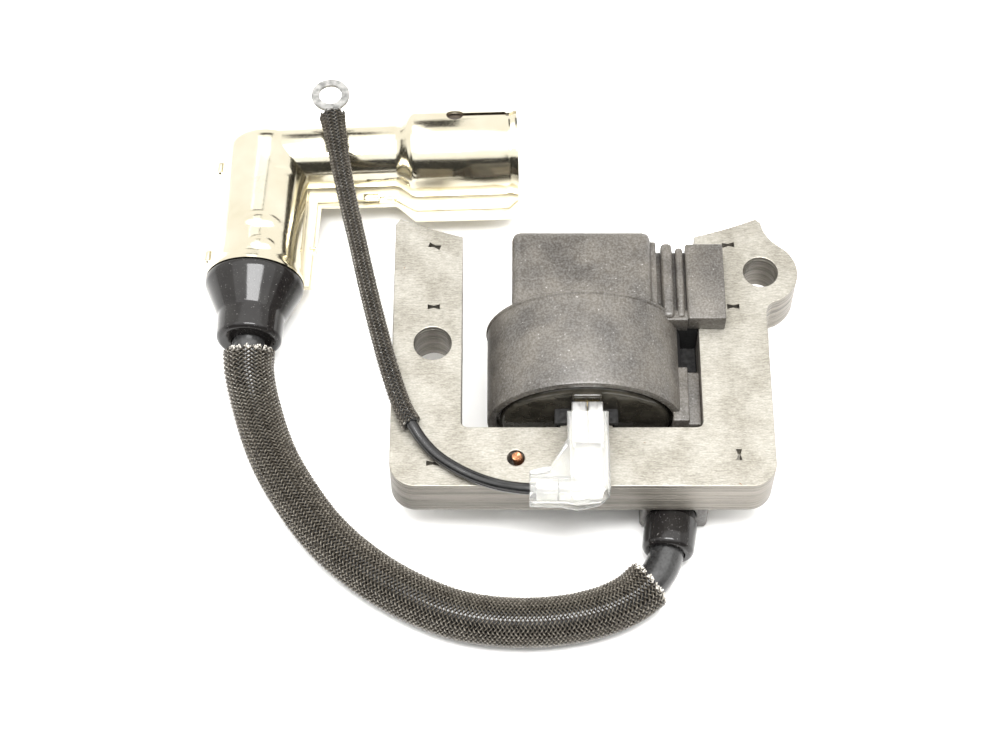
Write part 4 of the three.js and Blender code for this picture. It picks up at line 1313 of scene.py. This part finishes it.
def dress_kept_nodes():
    """Gives the CAD nodes that stay a finished material and softened edges."""
    for name, look in KEPT_LOOKS.items():
        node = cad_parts[name]
        node.data.materials.clear()
        node.data.materials.append(look)
        bevel = node.modifiers.new("edges", "BEVEL")
        bevel.width = 0.12 * MM
        bevel.segments = 2
        bevel.limit_method = "ANGLE"
        bevel.angle_limit = math.radians(40)
        node.data.polygons.foreach_set("use_smooth", [True] * len(node.data.polygons))
        node.data.set_sharp_from_angle(angle=math.radians(35))


# ---- Stage -----------------------------------------------------------------------------------

def area_light(name, location, target, width, depth, power):
    """A rectangular light aimed at a target, in metres and watts."""
    data = bpy.data.lights.new(name, "AREA")
    data.shape = "RECTANGLE"
    data.size = width
    data.size_y = depth
    data.energy = power
    light = bpy.data.objects.new(name, data)
    light.location = location
    light.rotation_euler = (Vector(target) - Vector(location)).to_track_quat("-Z", "Y").to_euler()
    bpy.context.scene.collection.objects.link(light)


def make_floor():
    """A plain pale bench."""
    floor = bpy.data.meshes.new("floor")
    half = 2.5
    corners = [(-half, -half, 0), (half, -half, 0), (half, half, 0), (-half, half, 0)]
    floor.from_pydata(corners, [], [(0, 1, 2, 3)])
    look = Look("floor", (0.90, 0.895, 0.885), 0.6)
    look.colour(look.cloudy(40, 3, (0.88, 0.875, 0.865), (0.92, 0.915, 0.905)))
    floor.materials.append(look.material)
    item = bpy.data.objects.new("floor", floor)
    bpy.context.scene.collection.objects.link(item)



def make_world():
    """White all round, but dark on the camera's side and in a gap behind the overhead light."""
    world = bpy.data.worlds.new("studio")
    world.use_nodes = True
    tree = world.node_tree
    where = tree.nodes.new("ShaderNodeTexCoord").outputs["Generated"]
    split = tree.nodes.new("ShaderNodeSeparateXYZ")
    tree.links.new(where, split.inputs["Vector"])

    def shade(axis, low, high, start, end):
        """A grey that goes from start to end as the direction's axis goes from low to high."""
        node = tree.nodes.new("ShaderNodeMapRange")
        for key, value in (("From Min", low), ("From Max", high), ("To Min", start), ("To Max", end)):
            node.inputs[key].default_value = value
        tree.links.new(split.outputs[axis], node.inputs["Value"])
        return node.outputs["Result"]

    def joined(operation, a, b):
        node = tree.nodes.new("ShaderNodeMath")
        node.operation = operation
        for socket, value in zip(node.inputs, (a, b)):
            if isinstance(value, float):
                socket.default_value = value
            else:
                tree.links.new(value, socket)
        return node.outputs["Value"]

    gap = shade("Y", 0.0, 0.1, 0.0, 1.0)
    for edge in (("Z", 0.46, 0.50, 0.0, 1.0), ("Z", 0.785, 0.81, 1.0, 0.0),
                 ("X", -0.26, -0.2, 0.0, 1.0), ("X", 0.09, 0.12, 1.0, 0.0)):
        gap = joined("MULTIPLY", gap, shade(*edge))
    lit = joined("SUBTRACT", 1.0, joined("MULTIPLY", gap, 0.94))
    strength = joined("MULTIPLY", shade("Y", -0.45, -0.25, 0.05, 1.5), lit)
    background = tree.nodes["Background"]
    tree.links.new(strength, background.inputs["Strength"])
    background.inputs["Color"].default_value = (1, 0.985, 0.955, 1)
    bpy.context.scene.world = world
    bpy.context.scene.view_settings.view_transform = "Standard"


def make_stage():
    """The floor, the lights and the studio round them."""
    make_floor()
    area_light("overhead", (-0.02, -0.13, 0.62), (-0.02, -0.10, 0), 1.4, 0.95, 6.5)
    area_light("key", (-0.01, -0.11, 0.60), (-0.02, 0.0, 0), 0.38, 0.22, 5.5)
    area_light("neck_fill", (-0.078, 0.123, 0.129), (-0.066, 0.035, 0.02), 0.05, 0.07, 0.0175)
    make_world()


# ---- Assembly --------------------------------------------------------------------------------

make_camera()
leads = make_leads()
make_core()
make_case()
make_resin()
make_boot()
cap_pieces = make_shield() + make_cap_boot()
ring_pieces = make_ring()
make_flag_terminal()
make_cover()
dress_kept_nodes()
make_stage()
